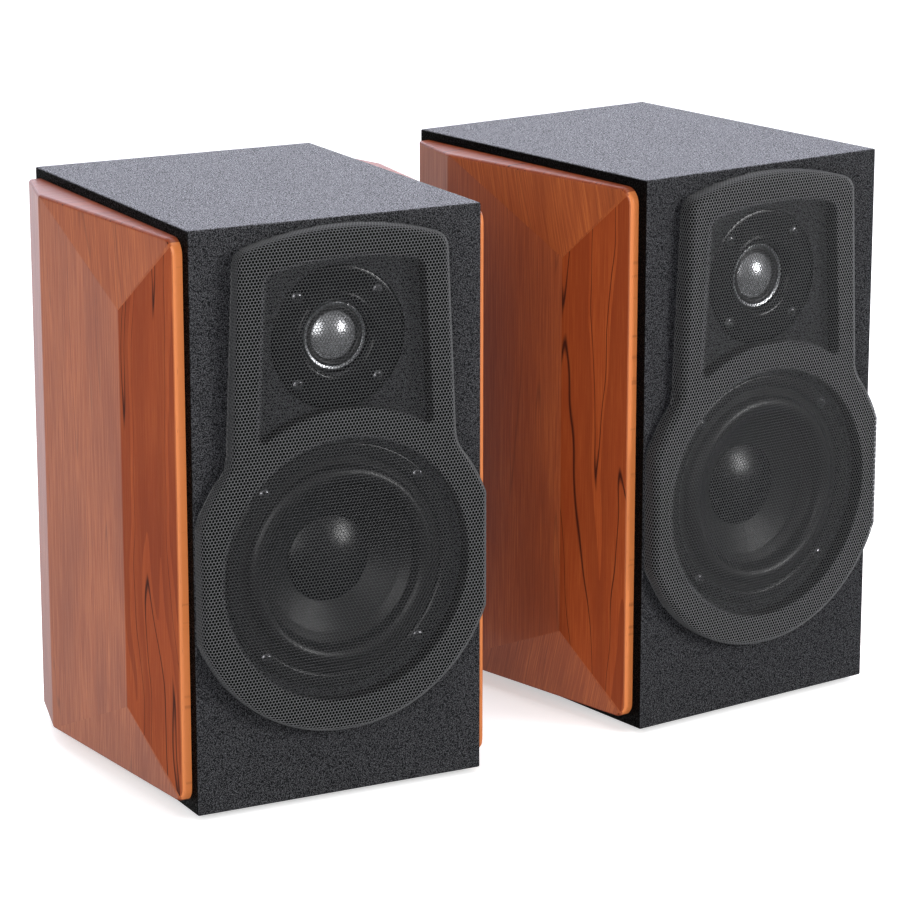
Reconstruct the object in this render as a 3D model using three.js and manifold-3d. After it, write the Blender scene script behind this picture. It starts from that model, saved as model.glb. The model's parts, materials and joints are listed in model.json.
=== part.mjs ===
// A pair of two-way desktop speakers: cabinets with wooden cheeks, and mesh grilles over a dome tweeter
// and a cone woofer. The left speaker holds the amplifier and drives the right one.
// Millimetres, +Z up, fronts face -Y. Each speaker is built in its own frame: x across, y back from the
// front of the baffle, z up from the cabinet bottom.
import * as THREE from 'three';
import { mergeVertices } from 'three/addons/utils/BufferGeometryUtils.js';
import { ConvexGeometry } from 'three/addons/geometries/ConvexGeometry.js';
import Module from 'manifold-3d';

// ---------- driving dimensions ----------
const CABINET = { width: 161, depth: 199, height: 300, wall: 12 };
const PAIR = { spacing: 265.7, stagger: 4.4, toeOut: 4.45 };
const FOOT = { height: 3, radius: 8, taper: 1, inset: 18 };
const TWEETER_Z = 239;
const WOOFER_Z = 121.3;
const GAP = 0.3; // between neighbouring pieces
const FIT = 0.6; // round a piece that sits in a hole
const CHORD = 0.35; // how far a faceted curve may stray from a true one
const FINE_CHORD = 0.06; // the same for outlines that are seen
const WELD = 1; // how far a piece sinks into the one it is joined to, or a cutter stands past a face

const HALF_WIDTH = CABINET.width / 2;
const INNER_HALF_WIDTH = HALF_WIDTH - CABINET.wall;
const INNER_TOP = CABINET.height - CABINET.wall;
const REAR_PANEL_FRONT = CABINET.depth - CABINET.wall;
const REAR = CABINET.depth + GAP;

const CHEEK = {
  bottom: 5,
  top: 295,
  front: 6.4,
  back: 191,
  frontThickness: 5.3,
  backThickness: 7.2,
  cornerRadius: 8.5,
  ridge: { thickness: 17.2, y: 48.7, rise: 41.6 },
  rearLine: { thickness: 18.6, y: 148.7 },
};

const GRILLE = {
  depth: 10,
  cloth: 0.5,
  ringRadius: 85.5,
  halfWidth: 80,
  openingRadius: 69,
  neckHalfWidth: 62.5,
  headHalfWidth: 58.3,
  shoulderRadius: 18,
  cornerRadius: 9,
  top: 297,
  topArcRadius: 180.5,
  window: {
    top: 282,
    topHalfWidth: 44.7,
    bottomHalfWidth: 49,
    cornerRadius: 7,
    floorRadius: 83,
    floorCornerRadius: 3.5,
  },
  peg: { radius: 3, length: 8, x: 53.5, z: 255 },
};

const WOOFER = {
  frameRadius: 64,
  frameProud: 2.5,
  frameInnerRadius: 56.9,
  neckRadius: 57.4,
  neckDepth: 2.2,
  seat: { radius: 50.5, y: 0.8 },
  spiderSeat: { radius: 35.5, y: 39.5 },
  window: { y: [9, 34], halfWidth: 13 },
  sheetThickness: 0.8,
  rollRadius: 47.75,
  rollHeight: 4.75,
  coneRim: { radius: 42.4, y: 3.7 },
  coneApex: { radius: 14.4, y: 19.7 },
  flange: { width: 5.4, drop: 3.1 },
  capRadius: 22.4,
  capRise: 6.5,
  capThickness: 0.6,
  coilRadius: 13.2,
  winding: { thickness: 0.8, halfLength: 4 },
  spider: { y: 37, waves: 5, waveHeight: 1.2, thickness: 0.6 },
  baseY: 44.8,
  baseThickness: 4,
  magnetRadius: 38,
  magnetThickness: 14,
  magnetLap: 4.5,
  yokeThickness: 5,
  ventRadius: 4,
};

const TWEETER = {
  plateRadius: 36.5,
  plateThickness: 4,
  lipRadius: 20.5,
  throatRadius: 17.9,
  throatDepth: 6.5,
  ringRadius: 17.1,
  domeRadius: 12.5,
  domeTop: 1.6,
  domeEdge: 6.4,
  motorRadius: 24,
  motorFront: 8.4,
  motorBack: 30,
  slot: { halfWidth: 1.1, floor: 14 },
  former: { halfThickness: 0.3, halfLength: 2.4 },
};

const MAGNET_FRONT = WOOFER.baseY + WOOFER.baseThickness + GAP;
const MAGNET_BACK = MAGNET_FRONT + WOOFER.magnetThickness;

const CROSSOVER = {
  board: { y: [92, 166], z: [196, 274] },
  coil: { y: 148, z: [218, 252], radius: 11, length: 19 },
  capacitor: { y: 108, z: [214, 244], radius: 6.5, halfLength: 11 },
};

const AMPLIFIER = {
  board: { x: [-46, 46], z: [76, 152] },
  sink: { x: [-40, 20], z: [130, 148], depth: 22, slots: [-31, -21, -11, -1, 9], slotWidth: 4 },
  capacitor: { x: [-26, 2], z: 100, radius: 10, length: 32 },
};

const TRANSFORMER = {
  y: 125,
  bracket: { halfWidth: 38, halfDepth: 21, z: [0, 2] },
  core: { halfWidth: 30, halfDepth: 21, z: [1, 50] },
  winding: { halfWidth: 19, halfDepth: 33, z: [12, 38] },
};

const PORT = {
  z: 238,
  radius: 22.5,
  wall: 2.5,
  flangeRadius: 33,
  front: 100,
  flare: { out: 4, depth: 4, proud: 2 },
};

const AMP_PLATE = { halfWidth: 55, bottom: 22, top: 190, thickness: 2 };
const KNOBS = [
  { name: 'volume_knob', x: -30, radius: 11, length: 14 },
  { name: 'treble_knob', x: 6, radius: 8, length: 12 },
  { name: 'bass_knob', x: 34, radius: 8, length: 12 },
];
const KNOB_Z = 166;
const SHAFT_RADIUS = 3;

const ROCKER = {
  x: 34,
  z: 48,
  halfWidth: 7.5,
  halfHeight: 10,
  pivotY: 200.5,
  tilt: 8,
  depth: 8,
  face: { edge: 1.6, middle: 0.4 },
};

const FLANGE = { thickness: 1.5, lap: 3 }; // the rim of a moulded insert; lap is how far it covers the hole
const POST_RADIUS = 5.5;
const BOARD_THICKNESS = 1.6;

const SOCKETS = {
  x: -12,
  z: 115,
  halfWidth: 34,
  halfHeight: 22,
  columns: [-24, -8],
  rows: [-9, 9],
  barrelRadius: 4,
  barrelLength: 10,
  postX: 20,
  postLength: 13,
};

const INLET = {
  x: -22,
  z: 48,
  halfWidth: 14,
  halfHeight: 10,
  wall: 1.5,
  pocketDepth: 12,
  pin: { x: 3, radius: 1.2 },
};

const TERMINALS = {
  z: 70,
  halfWidth: 32,
  halfHeight: 27,
  lap: 10,
  flange: 2,
  postX: 10,
  postLength: 15,
};

const AMP_CUT_OUT = { halfWidth: 48, bottom: 30, top: 182 };
const TERMINAL_CUT_OUT = { halfWidth: 24, bottom: 51, top: 89 };

// ---------- materials ----------
const material = (color, roughness, metalness = 0) =>
  new THREE.MeshStandardMaterial({ color, roughness, metalness });

const VINYL = material(0x2b2d33, 0.6);
const BOARD = material(0x9a7b55, 0.8);
const VENEER = material(0x9a4a2a, 0.3);
const BLACK_PLASTIC = material(0x17181a, 0.45);
const MESH_CLOTH = material(0x24262b, 0.55);
const RUBBER = material(0x131314, 0.65);
const CONE_PAPER = material(0x1d1e21, 0.55);
const SILVER_DOME = material(0xc9cdd2, 0.3, 0.8);
const BRIGHT_STEEL = material(0xc4c7cb, 0.25, 1);
const PAINTED_STEEL = material(0x1b1c1f, 0.5, 0.6);
const FERRITE = material(0x3a3b3d, 0.7, 0.2);
const COPPER = material(0xa45a2c, 0.4, 0.9);
const SPIDER_CLOTH = material(0xb8893f, 0.85);
const CIRCUIT_BOARD = material(0x1f5a36, 0.5);
const SOCKET_PLASTIC = material(0x202124, 0.5);

// ---------- outlines ----------
const point = (x, y) => new THREE.Vector2(x, y);
const radians = THREE.MathUtils.degToRad;

// Points along an arc, in degrees, close enough together to stay within the chord error of it.
function arc(centreX, centreY, radius, from, to, chord = CHORD) {
  const step = 2 * Math.acos(1 - chord / Math.max(radius, 2 * chord));
  const count = Math.max(2, Math.ceil(Math.abs(radians(to - from)) / step));
  return Array.from({ length: count + 1 }, (_, i) => {
    const angle = radians(from + ((to - from) * i) / count);
    return point(centreX + radius * Math.cos(angle), centreY + radius * Math.sin(angle));
  });
}

const fineArc = (...places) => arc(...places, FINE_CHORD);

function circle(centreX, centreY, radius) {
  return arc(centreX, centreY, radius, 0, 360).slice(0, -1);
}

function fineCircle(centreX, centreY, radius) {
  return fineArc(centreX, centreY, radius, 0, 360).slice(0, -1);
}

function rectangle(centreX, centreY, halfWidth, halfHeight) {
  return [
    point(centreX - halfWidth, centreY - halfHeight),
    point(centreX + halfWidth, centreY - halfHeight),
    point(centreX + halfWidth, centreY + halfHeight),
    point(centreX - halfWidth, centreY + halfHeight),
  ];
}

// A right-hand half outline, listed from bottom to top, with its mirror image.
function mirrored(half) {
  return [...half, ...half.map(({ x, y }) => point(-x, y)).reverse()];
}

// The arc of a shallow dome about the axis, from its front point out to its edge.
function domeLine(radius, front, edge) {
  const rise = edge - front;
  const curve = (radius ** 2 + rise ** 2) / (2 * rise);
  const spread = THREE.MathUtils.radToDeg(Math.asin(radius / curve));
  const line = arc(0, front + curve, curve, -90, -90 + spread);
  line[0].x = 0;
  return line;
}

// A closed profile with an even wall that follows a line of (radius, y) points.
function sheet(line, thickness) {
  const side = (sign) =>
    line.map((here, i) => {
      const before = line[Math.max(i - 1, 0)];
      const after = line[Math.min(i + 1, line.length - 1)];
      const along = after.clone().sub(before).normalize();
      const normal = point(-along.y, along.x);
      const moved = here.clone().addScaledVector(normal, (sign * thickness) / 2);
      return here.x === 0 ? point(0, moved.y) : moved;
    });
  return [...side(1), ...side(-1).reverse()];
}

// ---------- solids ----------
// A solid of revolution about a front-to-back axis, from a closed profile of (radius, y) points.
function revolve(profile, { x = 0, z = 0 } = {}) {
  const largest = Math.max(...profile.map((p) => p.x));
  const segments = circle(0, 0, largest).length;
  const outline = THREE.ShapeUtils.isClockWise(profile) ? [...profile].reverse() : [...profile];
  if (outline.some((p) => p.x === 0)) {
    while (outline[0].x !== 0 || outline.at(-1).x !== 0) outline.push(outline.shift());
  } else {
    outline.push(outline[0].clone());
  }
  return new THREE.LatheGeometry(outline, segments).translate(x, 0, z);
}

// A flat plate from an (x, z) outline, standing between two depths.
function plate(outline, yFront, yBack, holes = []) {
  const shape = new THREE.Shape(outline);
  shape.holes = holes.map((hole) => new THREE.Path(hole));
  const options = { depth: yBack - yFront, bevelEnabled: false };
  return new THREE.ExtrudeGeometry(shape, options).rotateX(Math.PI / 2).translate(0, yBack, 0);
}

function block([xMin, xMax], [yMin, yMax], [zMin, zMax]) {
  const box = new THREE.BoxGeometry(xMax - xMin, yMax - yMin, zMax - zMin);
  return box.translate((xMin + xMax) / 2, (yMin + yMax) / 2, (zMin + zMax) / 2);
}

function uprightCylinder(x, y, [zMin, zMax], radius, footRadius = radius) {
  const sides = Math.max(12, circle(0, 0, radius).length);
  const cylinder = new THREE.CylinderGeometry(radius, footRadius, zMax - zMin, sides);
  return cylinder.rotateX(Math.PI / 2).translate(x, y, (zMin + zMax) / 2);
}

// A round bar that points backwards.
const bar = (x, z, radius, [yFront, yBack]) => plate(circle(x, z, radius), yFront, yBack);

// A plate the size of the cabinet's front. Its edges slope in at 45 degrees from the depth `edge`.
function mitredPlate(edge, yFront, yBack) {
  const { width, height } = CABINET;
  const box = new THREE.BoxGeometry(width, yBack - yFront, height).translate(0, (yFront + yBack) / 2, 0);
  const corners = box.getAttribute('position');
  for (let i = 0; i < corners.count; i++) {
    const inset = corners.getY(i) - edge;
    corners.setX(i, corners.getX(i) - Math.sign(corners.getX(i)) * inset);
    corners.setZ(i, corners.getZ(i) - Math.sign(corners.getZ(i)) * inset);
  }
  return box.translate(0, 0, height / 2);
}

const wasm = await Module();
wasm.setup();

function toSolid(geometry) {
  const bare = new THREE.BufferGeometry();
  bare.setAttribute('position', geometry.getAttribute('position'));
  bare.setIndex(geometry.index);
  const merged = mergeVertices(bare, 1e-4);
  const vertProperties = new Float32Array(merged.getAttribute('position').array);
  const triVerts = new Uint32Array(merged.index.array);
  return new wasm.Manifold(new wasm.Mesh({ numProp: 3, vertProperties, triVerts }));
}

function toGeometry(solid) {
  const { vertProperties, triVerts } = solid.getMesh();
  const geometry = new THREE.BufferGeometry();
  geometry.setAttribute('position', new THREE.BufferAttribute(vertProperties, 3));
  geometry.setIndex(new THREE.BufferAttribute(triVerts, 1));
  const flat = geometry.toNonIndexed();
  flat.computeVertexNormals();
  return flat;
}

const join = (...pieces) => toGeometry(pieces.map(toSolid).reduce((sum, piece) => sum.add(piece)));
const cut = (body, ...tools) =>
  toGeometry(tools.map(toSolid).reduce((rest, tool) => rest.subtract(tool), toSolid(body)));

// ---------- cabinet ----------
// The front edges of the shell and the baffle meet in a mitre, so the wrap has no seam on the front.
function cabinetShell() {
  const { depth, height, wall } = CABINET;
  const mitreGap = 0.4;
  return cut(
    block([-HALF_WIDTH, HALF_WIDTH], [mitreGap, depth], [0, height]),
    block([-INNER_HALF_WIDTH, INNER_HALF_WIDTH], [-WELD, depth + WELD], [wall, height - wall]),
    mitredPlate(mitreGap, -WELD, wall + WELD),
  );
}

function frontBaffle() {
  const { wall } = CABINET;
  const { plateRadius, plateThickness, motorRadius } = TWEETER;
  const through = [-WELD, wall + WELD];
  const motorClearance = 6;
  return cut(
    mitredPlate(0, 0, wall),
    bar(0, WOOFER_Z, WOOFER.neckRadius + FIT, through),
    bar(0, TWEETER_Z, motorRadius + motorClearance, through),
    bar(0, TWEETER_Z, plateRadius + FIT, [-WELD, plateThickness + GAP]),
    ...grillePegs(GRILLE.peg.radius + FIT, GRILLE.peg.length + 1),
  );
}

function rearPanel(cutOut) {
  const halfWidth = INNER_HALF_WIDTH - GAP;
  const halfHeight = INNER_TOP / 2 - CABINET.wall / 2 - GAP;
  const outline = rectangle(0, CABINET.height / 2, halfWidth, halfHeight);
  const portHole = circle(0, PORT.z, PORT.radius + PORT.wall + FIT);
  return plate(outline, REAR_PANEL_FRONT, CABINET.depth, [cutOut, portHole]);
}

function reflexPort() {
  const { radius, wall, flangeRadius, front, flare } = PORT;
  const profile = [
    point(radius, front),
    point(radius + wall, front),
    point(radius + wall, REAR),
    point(flangeRadius, REAR),
    point(flangeRadius, REAR + flare.proud / 2),
    point(radius + flare.out, REAR + flare.proud),
    point(radius, REAR - flare.depth),
  ];
  return revolve(profile, { z: PORT.z });
}

function foot(x, y) {
  const { height, radius, taper } = FOOT;
  return uprightCylinder(x, y, [-height, -GAP], radius, radius - taper);
}

// A side cheek is a slab cut by five planes: front, middle and rear facets, and a triangle at the top and
// the bottom. `side` is +1 for the cheek at +x and -1 for the one at -x. Corners are (thickness, y, z).
function cheek(side) {
  const { bottom, top, front, back, frontThickness, backThickness, cornerRadius } = CHEEK;
  const { ridge, rearLine } = CHEEK;
  const corner = (thickness, y, z) => new THREE.Vector3(thickness, y, z);
  const ridgeTop = corner(ridge.thickness, ridge.y, top - ridge.rise);
  const ridgeBottom = corner(ridge.thickness, ridge.y, bottom + ridge.rise);
  const rearTop = corner(rearLine.thickness, rearLine.y, top);
  const rearBottom = corner(rearLine.thickness, rearLine.y, bottom);
  const frontTop = corner(frontThickness, front, top);
  const frontBottom = corner(frontThickness, front, bottom);
  const backTop = corner(backThickness, back, top);
  const facets = [
    [frontTop, frontBottom, ridgeTop],
    [ridgeTop, ridgeBottom, rearTop],
    [frontTop, ridgeTop, rearTop],
    [frontBottom, ridgeBottom, rearBottom],
    [rearTop, rearBottom, backTop],
  ].map((three) => new THREE.Plane().setFromCoplanarPoints(...three));
  const thicknessAt = (y, z) => {
    const reach = ({ normal, constant }) => -(normal.y * y + normal.z * z + constant) / normal.x;
    return Math.min(...facets.map(reach));
  };
  const outline = [
    ...fineArc(front + cornerRadius, top - cornerRadius, cornerRadius, 180, 90),
    point(rearLine.y, top),
    point(back, top),
    point(back, bottom),
    point(rearLine.y, bottom),
    ...fineArc(front + cornerRadius, bottom + cornerRadius, cornerRadius, 270, 180),
  ];
  const skin = outline.map(({ x: y, y: z }) => corner(thicknessAt(y, z), y, z));
  const seat = outline.map(({ x: y, y: z }) => corner(GAP, y, z));
  const points = [...seat, ...skin, ridgeTop, ridgeBottom];
  return new ConvexGeometry(points.map(({ x, y, z }) => corner(side * (HALF_WIDTH + x), y, z)));
}

// ---------- grille ----------
// The centre of a corner arc that touches a side at `sideX` and a wide arched top, and the angle where the
// arc meets the top.
function archCorner(sideX, radius, topZ) {
  const x = sideX - radius;
  const archCentre = topZ - GRILLE.topArcRadius;
  const rise = Math.sqrt((GRILLE.topArcRadius - radius) ** 2 - x ** 2);
  return { x, z: archCentre + rise, archCentre, angle: THREE.MathUtils.radToDeg(Math.atan2(rise, x)) };
}

// Round below, over the woofer, with concave shoulders up to a narrower head over the tweeter.
function grilleOutline() {
  const { ringRadius, halfWidth, neckHalfWidth, headHalfWidth, shoulderRadius } = GRILLE;
  const { cornerRadius, top, topArcRadius } = GRILLE;
  const flatAngle = THREE.MathUtils.radToDeg(Math.acos(halfWidth / ringRadius));
  const shoulderX = neckHalfWidth + shoulderRadius;
  const shoulderRise = Math.sqrt((ringRadius + shoulderRadius) ** 2 - shoulderX ** 2);
  const shoulderAngle = THREE.MathUtils.radToDeg(Math.atan2(shoulderRise, shoulderX));
  const corner = archCorner(headHalfWidth, cornerRadius, top);
  return mirrored([
    ...fineArc(0, WOOFER_Z, ringRadius, -90, -flatAngle).slice(1),
    ...fineArc(0, WOOFER_Z, ringRadius, flatAngle, shoulderAngle),
    ...fineArc(shoulderX, WOOFER_Z + shoulderRise, shoulderRadius, 180 + shoulderAngle, 180).slice(1),
    ...fineArc(corner.x, corner.z, cornerRadius, 0, corner.angle),
    ...fineArc(0, corner.archCentre, topArcRadius, corner.angle, 90).slice(1),
  ]);
}

// The tweeter window narrows a little upwards, with an arched top and a floor that follows the ring.
function grilleWindow() {
  const { window, topArcRadius } = GRILLE;
  const corner = archCorner(window.topHalfWidth, window.cornerRadius, window.top);
  const floorX = window.bottomHalfWidth - window.floorCornerRadius;
  const floorRise = Math.sqrt((window.floorRadius + window.floorCornerRadius) ** 2 - floorX ** 2);
  const floorAngle = THREE.MathUtils.radToDeg(Math.atan2(floorRise, floorX));
  return mirrored([
    ...fineArc(0, WOOFER_Z, window.floorRadius, 90, floorAngle).slice(1),
    ...fineArc(floorX, WOOFER_Z + floorRise, window.floorCornerRadius, 180 + floorAngle, 360).slice(1),
    ...fineArc(corner.x, corner.z, window.cornerRadius, 0, corner.angle),
    ...fineArc(0, corner.archCentre, topArcRadius, corner.angle, 90).slice(1, -1),
  ]);
}

// Two pegs beside the tweeter window, and two through the ring at 45 degrees below the woofer.
function grillePegs(radius, length) {
  const { peg, ringRadius, openingRadius } = GRILLE;
  const low = ((ringRadius + openingRadius) / 2) * Math.SQRT1_2;
  const places = [-1, 1].flatMap((side) => [
    { x: side * peg.x, z: peg.z },
    { x: side * low, z: WOOFER_Z - low },
  ]);
  return places.map(({ x, z }) => bar(x, z, radius, [-GRILLE.depth / 2, length]));
}

function grilleFrame() {
  const openings = [fineCircle(0, WOOFER_Z, GRILLE.openingRadius), grilleWindow()];
  const front = -GRILLE.depth + GRILLE.cloth + GAP;
  const ring = plate(grilleOutline(), front, -GAP, openings);
  return join(ring, ...grillePegs(GRILLE.peg.radius, GRILLE.peg.length));
}

function grilleCloth() {
  return plate(grilleOutline(), -GRILLE.depth, -GRILLE.depth + GRILLE.cloth);
}

// ---------- woofer ----------
// A frame with a recessed seat for the surround, wide windows, and a floor that is the motor's front plate.
function wooferBasket() {
  const { frameRadius, frameProud, frameInnerRadius, neckRadius, neckDepth, coilRadius } = WOOFER;
  const { baseY, baseThickness, magnetRadius, spiderSeat, seat, window } = WOOFER;
  const base = baseY + baseThickness;
  const boreRadius = coilRadius + 2;
  const profile = [
    point(frameInnerRadius, -frameProud),
    point(frameRadius, -frameProud),
    point(frameRadius, -GAP),
    point(neckRadius, -GAP),
    point(neckRadius, neckDepth),
    point(magnetRadius, spiderSeat.y + 0.5),
    point(magnetRadius, base),
    point(boreRadius, base),
    point(boreRadius, baseY),
    point(spiderSeat.radius, baseY),
    point(spiderSeat.radius, spiderSeat.y),
    point(seat.radius + 3.5, neckDepth),
    point(seat.radius, neckDepth),
    point(seat.radius, seat.y),
    point(frameInnerRadius, seat.y),
  ];
  const windows = [30, 90, 150].map((angle) => {
    const slot = block([-frameRadius, frameRadius], window.y, [-window.halfWidth, window.halfWidth]);
    return slot.rotateY(radians(angle)).translate(0, 0, WOOFER_Z);
  });
  return cut(revolve(profile, { z: WOOFER_Z }), ...windows);
}

// Rubber half roll: a flat rim on the basket, the roll, and an inner flange glued to the cone.
function wooferSurround() {
  const { frameInnerRadius, rollRadius, rollHeight, coneRim, sheetThickness, flange } = WOOFER;
  const rimY = -0.2;
  const flangeY = coneRim.y - 1.35;
  const line = [
    point(frameInnerRadius - FIT, rimY),
    ...arc(rollRadius, rimY, rollHeight, 0, -180),
    point(coneRim.radius, flangeY),
    point(coneRim.radius - flange.width, flangeY + flange.drop),
  ];
  return revolve(sheet(line, sheetThickness), { z: WOOFER_Z });
}

function wooferCone() {
  const { coneRim, coneApex, sheetThickness } = WOOFER;
  const line = [point(coneRim.radius, coneRim.y), point(coneApex.radius, coneApex.y)];
  return revolve(sheet(line, sheetThickness), { z: WOOFER_Z });
}

function wooferDustCap() {
  const { coneRim, coneApex, capRadius, capRise, capThickness } = WOOFER;
  const slope = (coneApex.y - coneRim.y) / (coneRim.radius - coneApex.radius);
  const edge = coneRim.y + (coneRim.radius - capRadius) * slope - 2 * capThickness;
  return revolve(sheet(domeLine(capRadius, edge - capRise, edge), capThickness), { z: WOOFER_Z });
}

// A paper former with the copper winding at its rear end, in the magnetic gap.
function wooferVoiceCoil() {
  const { coilRadius, coneApex, baseY, baseThickness, winding } = WOOFER;
  const middle = baseY + baseThickness / 2;
  const inner = coilRadius - winding.thickness;
  const former = coneApex.y - 2.2;
  const profile = [
    point(inner, former),
    point(coilRadius, former),
    point(coilRadius, middle - winding.halfLength),
    point(coilRadius + winding.thickness, middle - winding.halfLength),
    point(coilRadius + winding.thickness, middle + winding.halfLength),
    point(inner, middle + winding.halfLength),
  ];
  return revolve(profile, { z: WOOFER_Z });
}

// Corrugated cloth disc that centres the coil.
function wooferSpider() {
  const { coilRadius, spiderSeat, spider } = WOOFER;
  const inner = coilRadius + FIT;
  const outer = spiderSeat.radius - 0.9;
  const line = Array.from({ length: spider.waves + 1 }, (_, i) => {
    const atEdge = i === 0 || i === spider.waves;
    const wave = atEdge ? 0 : spider.waveHeight * (-1) ** i;
    return point(inner + ((outer - inner) * i) / spider.waves, spider.y + wave);
  });
  return revolve(sheet(line, spider.thickness), { z: WOOFER_Z });
}

function wooferMagnet() {
  const { magnetRadius, magnetLap, coilRadius } = WOOFER;
  const outline = circle(0, WOOFER_Z, magnetRadius + magnetLap);
  const bore = circle(0, WOOFER_Z, coilRadius + magnetLap);
  return plate(outline, MAGNET_FRONT, MAGNET_BACK, [bore]);
}

// The rear plate and the pole piece inside the coil, with a vent down the middle.
function wooferYoke() {
  const { coilRadius, magnetRadius, ventRadius, yokeThickness, baseY } = WOOFER;
  const poleRadius = coilRadius - 1.6;
  const plateFront = MAGNET_BACK + GAP;
  const plateBack = plateFront + yokeThickness;
  const profile = [
    point(ventRadius, baseY),
    point(poleRadius, baseY),
    point(poleRadius, plateFront),
    point(magnetRadius, plateFront),
    point(magnetRadius, plateBack),
    point(ventRadius, plateBack),
  ];
  return revolve(profile, { z: WOOFER_Z });
}

// ---------- tweeter ----------
function tweeterFaceplate() {
  const { plateRadius, plateThickness, lipRadius, throatRadius, throatDepth } = TWEETER;
  const backRadius = lipRadius + 4;
  const profile = [
    point(plateRadius, 0),
    point(plateRadius, plateThickness),
    point(backRadius, plateThickness),
    point(backRadius, throatDepth),
    point(throatRadius, throatDepth),
    point(throatRadius + 0.8, 2.4),
    point(lipRadius, 0),
  ];
  return revolve(profile, { z: TWEETER_Z });
}

function tweeterRing() {
  const { ringRadius, plateThickness } = TWEETER;
  const section = rectangle(ringRadius - 0.8, plateThickness + 0.4, 0.8, 0.6);
  return revolve(section, { z: TWEETER_Z });
}

// The dome, its soft roll and the former of its voice coil, as the one piece that moves.
function tweeterDome() {
  const { domeRadius, domeTop, domeEdge, former } = TWEETER;
  const line = [
    ...domeLine(domeRadius, domeTop, domeEdge),
    point(domeRadius + 1.4, domeEdge - 1),
    point(domeRadius + 3.4, domeEdge + 0.2),
  ];
  const skin = revolve(sheet(line, 0.4));
  const tube = revolve(rectangle(domeRadius, domeEdge + 2.2, former.halfThickness, former.halfLength));
  return join(skin, tube).translate(0, 0, TWEETER_Z);
}

// A pot with a ring slot for the coil.
function tweeterMotor() {
  const { domeRadius, motorRadius, motorFront, motorBack, slot } = TWEETER;
  const profile = [
    point(0, motorFront),
    point(domeRadius - slot.halfWidth, motorFront),
    point(domeRadius - slot.halfWidth, slot.floor),
    point(domeRadius + slot.halfWidth, slot.floor),
    point(domeRadius + slot.halfWidth, motorFront),
    point(motorRadius, motorFront),
    point(motorRadius, motorBack),
    point(0, motorBack),
  ];
  return revolve(profile, { z: TWEETER_Z });
}

// ---------- inside ----------
// A passive filter on the -x wall: a board with two coils and two capacitors.
function crossoverBoard() {
  const { board, coil, capacitor } = CROSSOVER;
  const wall = -INNER_HALF_WIDTH + GAP;
  const card = block([wall, wall + BOARD_THICKNESS], board.y, board.z);
  const coils = coil.z.map((z) =>
    bar(0, 0, coil.radius, [0, coil.length]).rotateZ(-Math.PI / 2).translate(wall + WELD, coil.y, z));
  const capacitors = capacitor.z.map((z) => {
    const span = [z - capacitor.halfLength, z + capacitor.halfLength];
    return uprightCylinder(wall + WELD + capacitor.radius, capacitor.y, span, capacitor.radius);
  });
  return join(card, ...coils, ...capacitors);
}

// A circuit board behind the plate, with a finned heat sink and two reservoir capacitors.
function amplifierBoard() {
  const { board, sink, capacitor } = AMPLIFIER;
  const back = REAR_PANEL_FRONT - 3;
  const card = block(board.x, [back - BOARD_THICKNESS, back], board.z);
  const metal = block(sink.x, [back - sink.depth, back - WELD], sink.z);
  const slotDepths = [back - sink.depth - WELD, back - 6];
  const slotHeights = [sink.z[0] - WELD, sink.z[1] + WELD];
  const slots = sink.slots.map((x) => block([x, x + sink.slotWidth], slotDepths, slotHeights));
  const capacitors = capacitor.x.map((x) =>
    bar(x, capacitor.z, capacitor.radius, [back - capacitor.length, back - WELD]));
  return join(card, cut(metal, ...slots), ...capacitors);
}

function transformer() {
  const { y, bracket, core, winding } = TRANSFORMER;
  const floor = CABINET.wall + GAP;
  const sized = ({ halfWidth, halfDepth, z }) =>
    block([-halfWidth, halfWidth], [y - halfDepth, y + halfDepth], z.map((height) => floor + height));
  return join(...[bracket, core, winding].map(sized));
}

// ---------- behind ----------
function amplifierPlate() {
  const { halfWidth, bottom, top, thickness } = AMP_PLATE;
  const outline = rectangle(0, (top + bottom) / 2, halfWidth, (top - bottom) / 2);
  const { lap } = FLANGE;
  const holes = [
    ...KNOBS.map(({ x }) => circle(x, KNOB_Z, SHAFT_RADIUS + FIT)),
    rectangle(ROCKER.x, ROCKER.z, ROCKER.halfWidth + FIT, ROCKER.halfHeight + FIT),
    ...[SOCKETS, INLET].map((part) =>
      rectangle(part.x, part.z, part.halfWidth - lap + FIT, part.halfHeight - lap + FIT)),
  ];
  return plate(outline, REAR, REAR + thickness, holes);
}

// A knob on its shaft, with a slot for the pointer in its rim.
function knob({ x, radius, length }) {
  const plateBack = REAR + AMP_PLATE.thickness;
  const back = plateBack + GAP + length;
  const shaftFront = REAR - 8;
  const draft = 0.8;
  const profile = [
    point(0, shaftFront),
    point(SHAFT_RADIUS, shaftFront),
    point(SHAFT_RADIUS, plateBack + GAP),
    point(radius, plateBack + GAP),
    point(radius - draft, back),
    point(0, back),
  ];
  const pointer = block([-0.8, 0.8], [back - 1, back + WELD], [radius * 0.35, radius + WELD]);
  return cut(revolve(profile), pointer).translate(x, 0, KNOB_Z);
}

// A rocker with two shallow faces, resting with its lower half pressed in.
function powerSwitch() {
  const { x, z, halfWidth, halfHeight, pivotY, tilt, face, depth } = ROCKER;
  const side = [
    point(-depth, -halfHeight + 2),
    point(face.edge, -halfHeight + 0.6),
    point(face.middle, 0),
    point(face.edge, halfHeight - 0.6),
    point(-depth, halfHeight - 2),
  ];
  const width = 2 * halfWidth - 1;
  const body = new THREE.ExtrudeGeometry(new THREE.Shape(side), { depth: width, bevelEnabled: false });
  body.translate(0, 0, -width / 2).rotateY(Math.PI / 2).rotateX(Math.PI / 2);
  return body.rotateX(radians(-tilt)).translate(x, pivotY, z);
}

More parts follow.
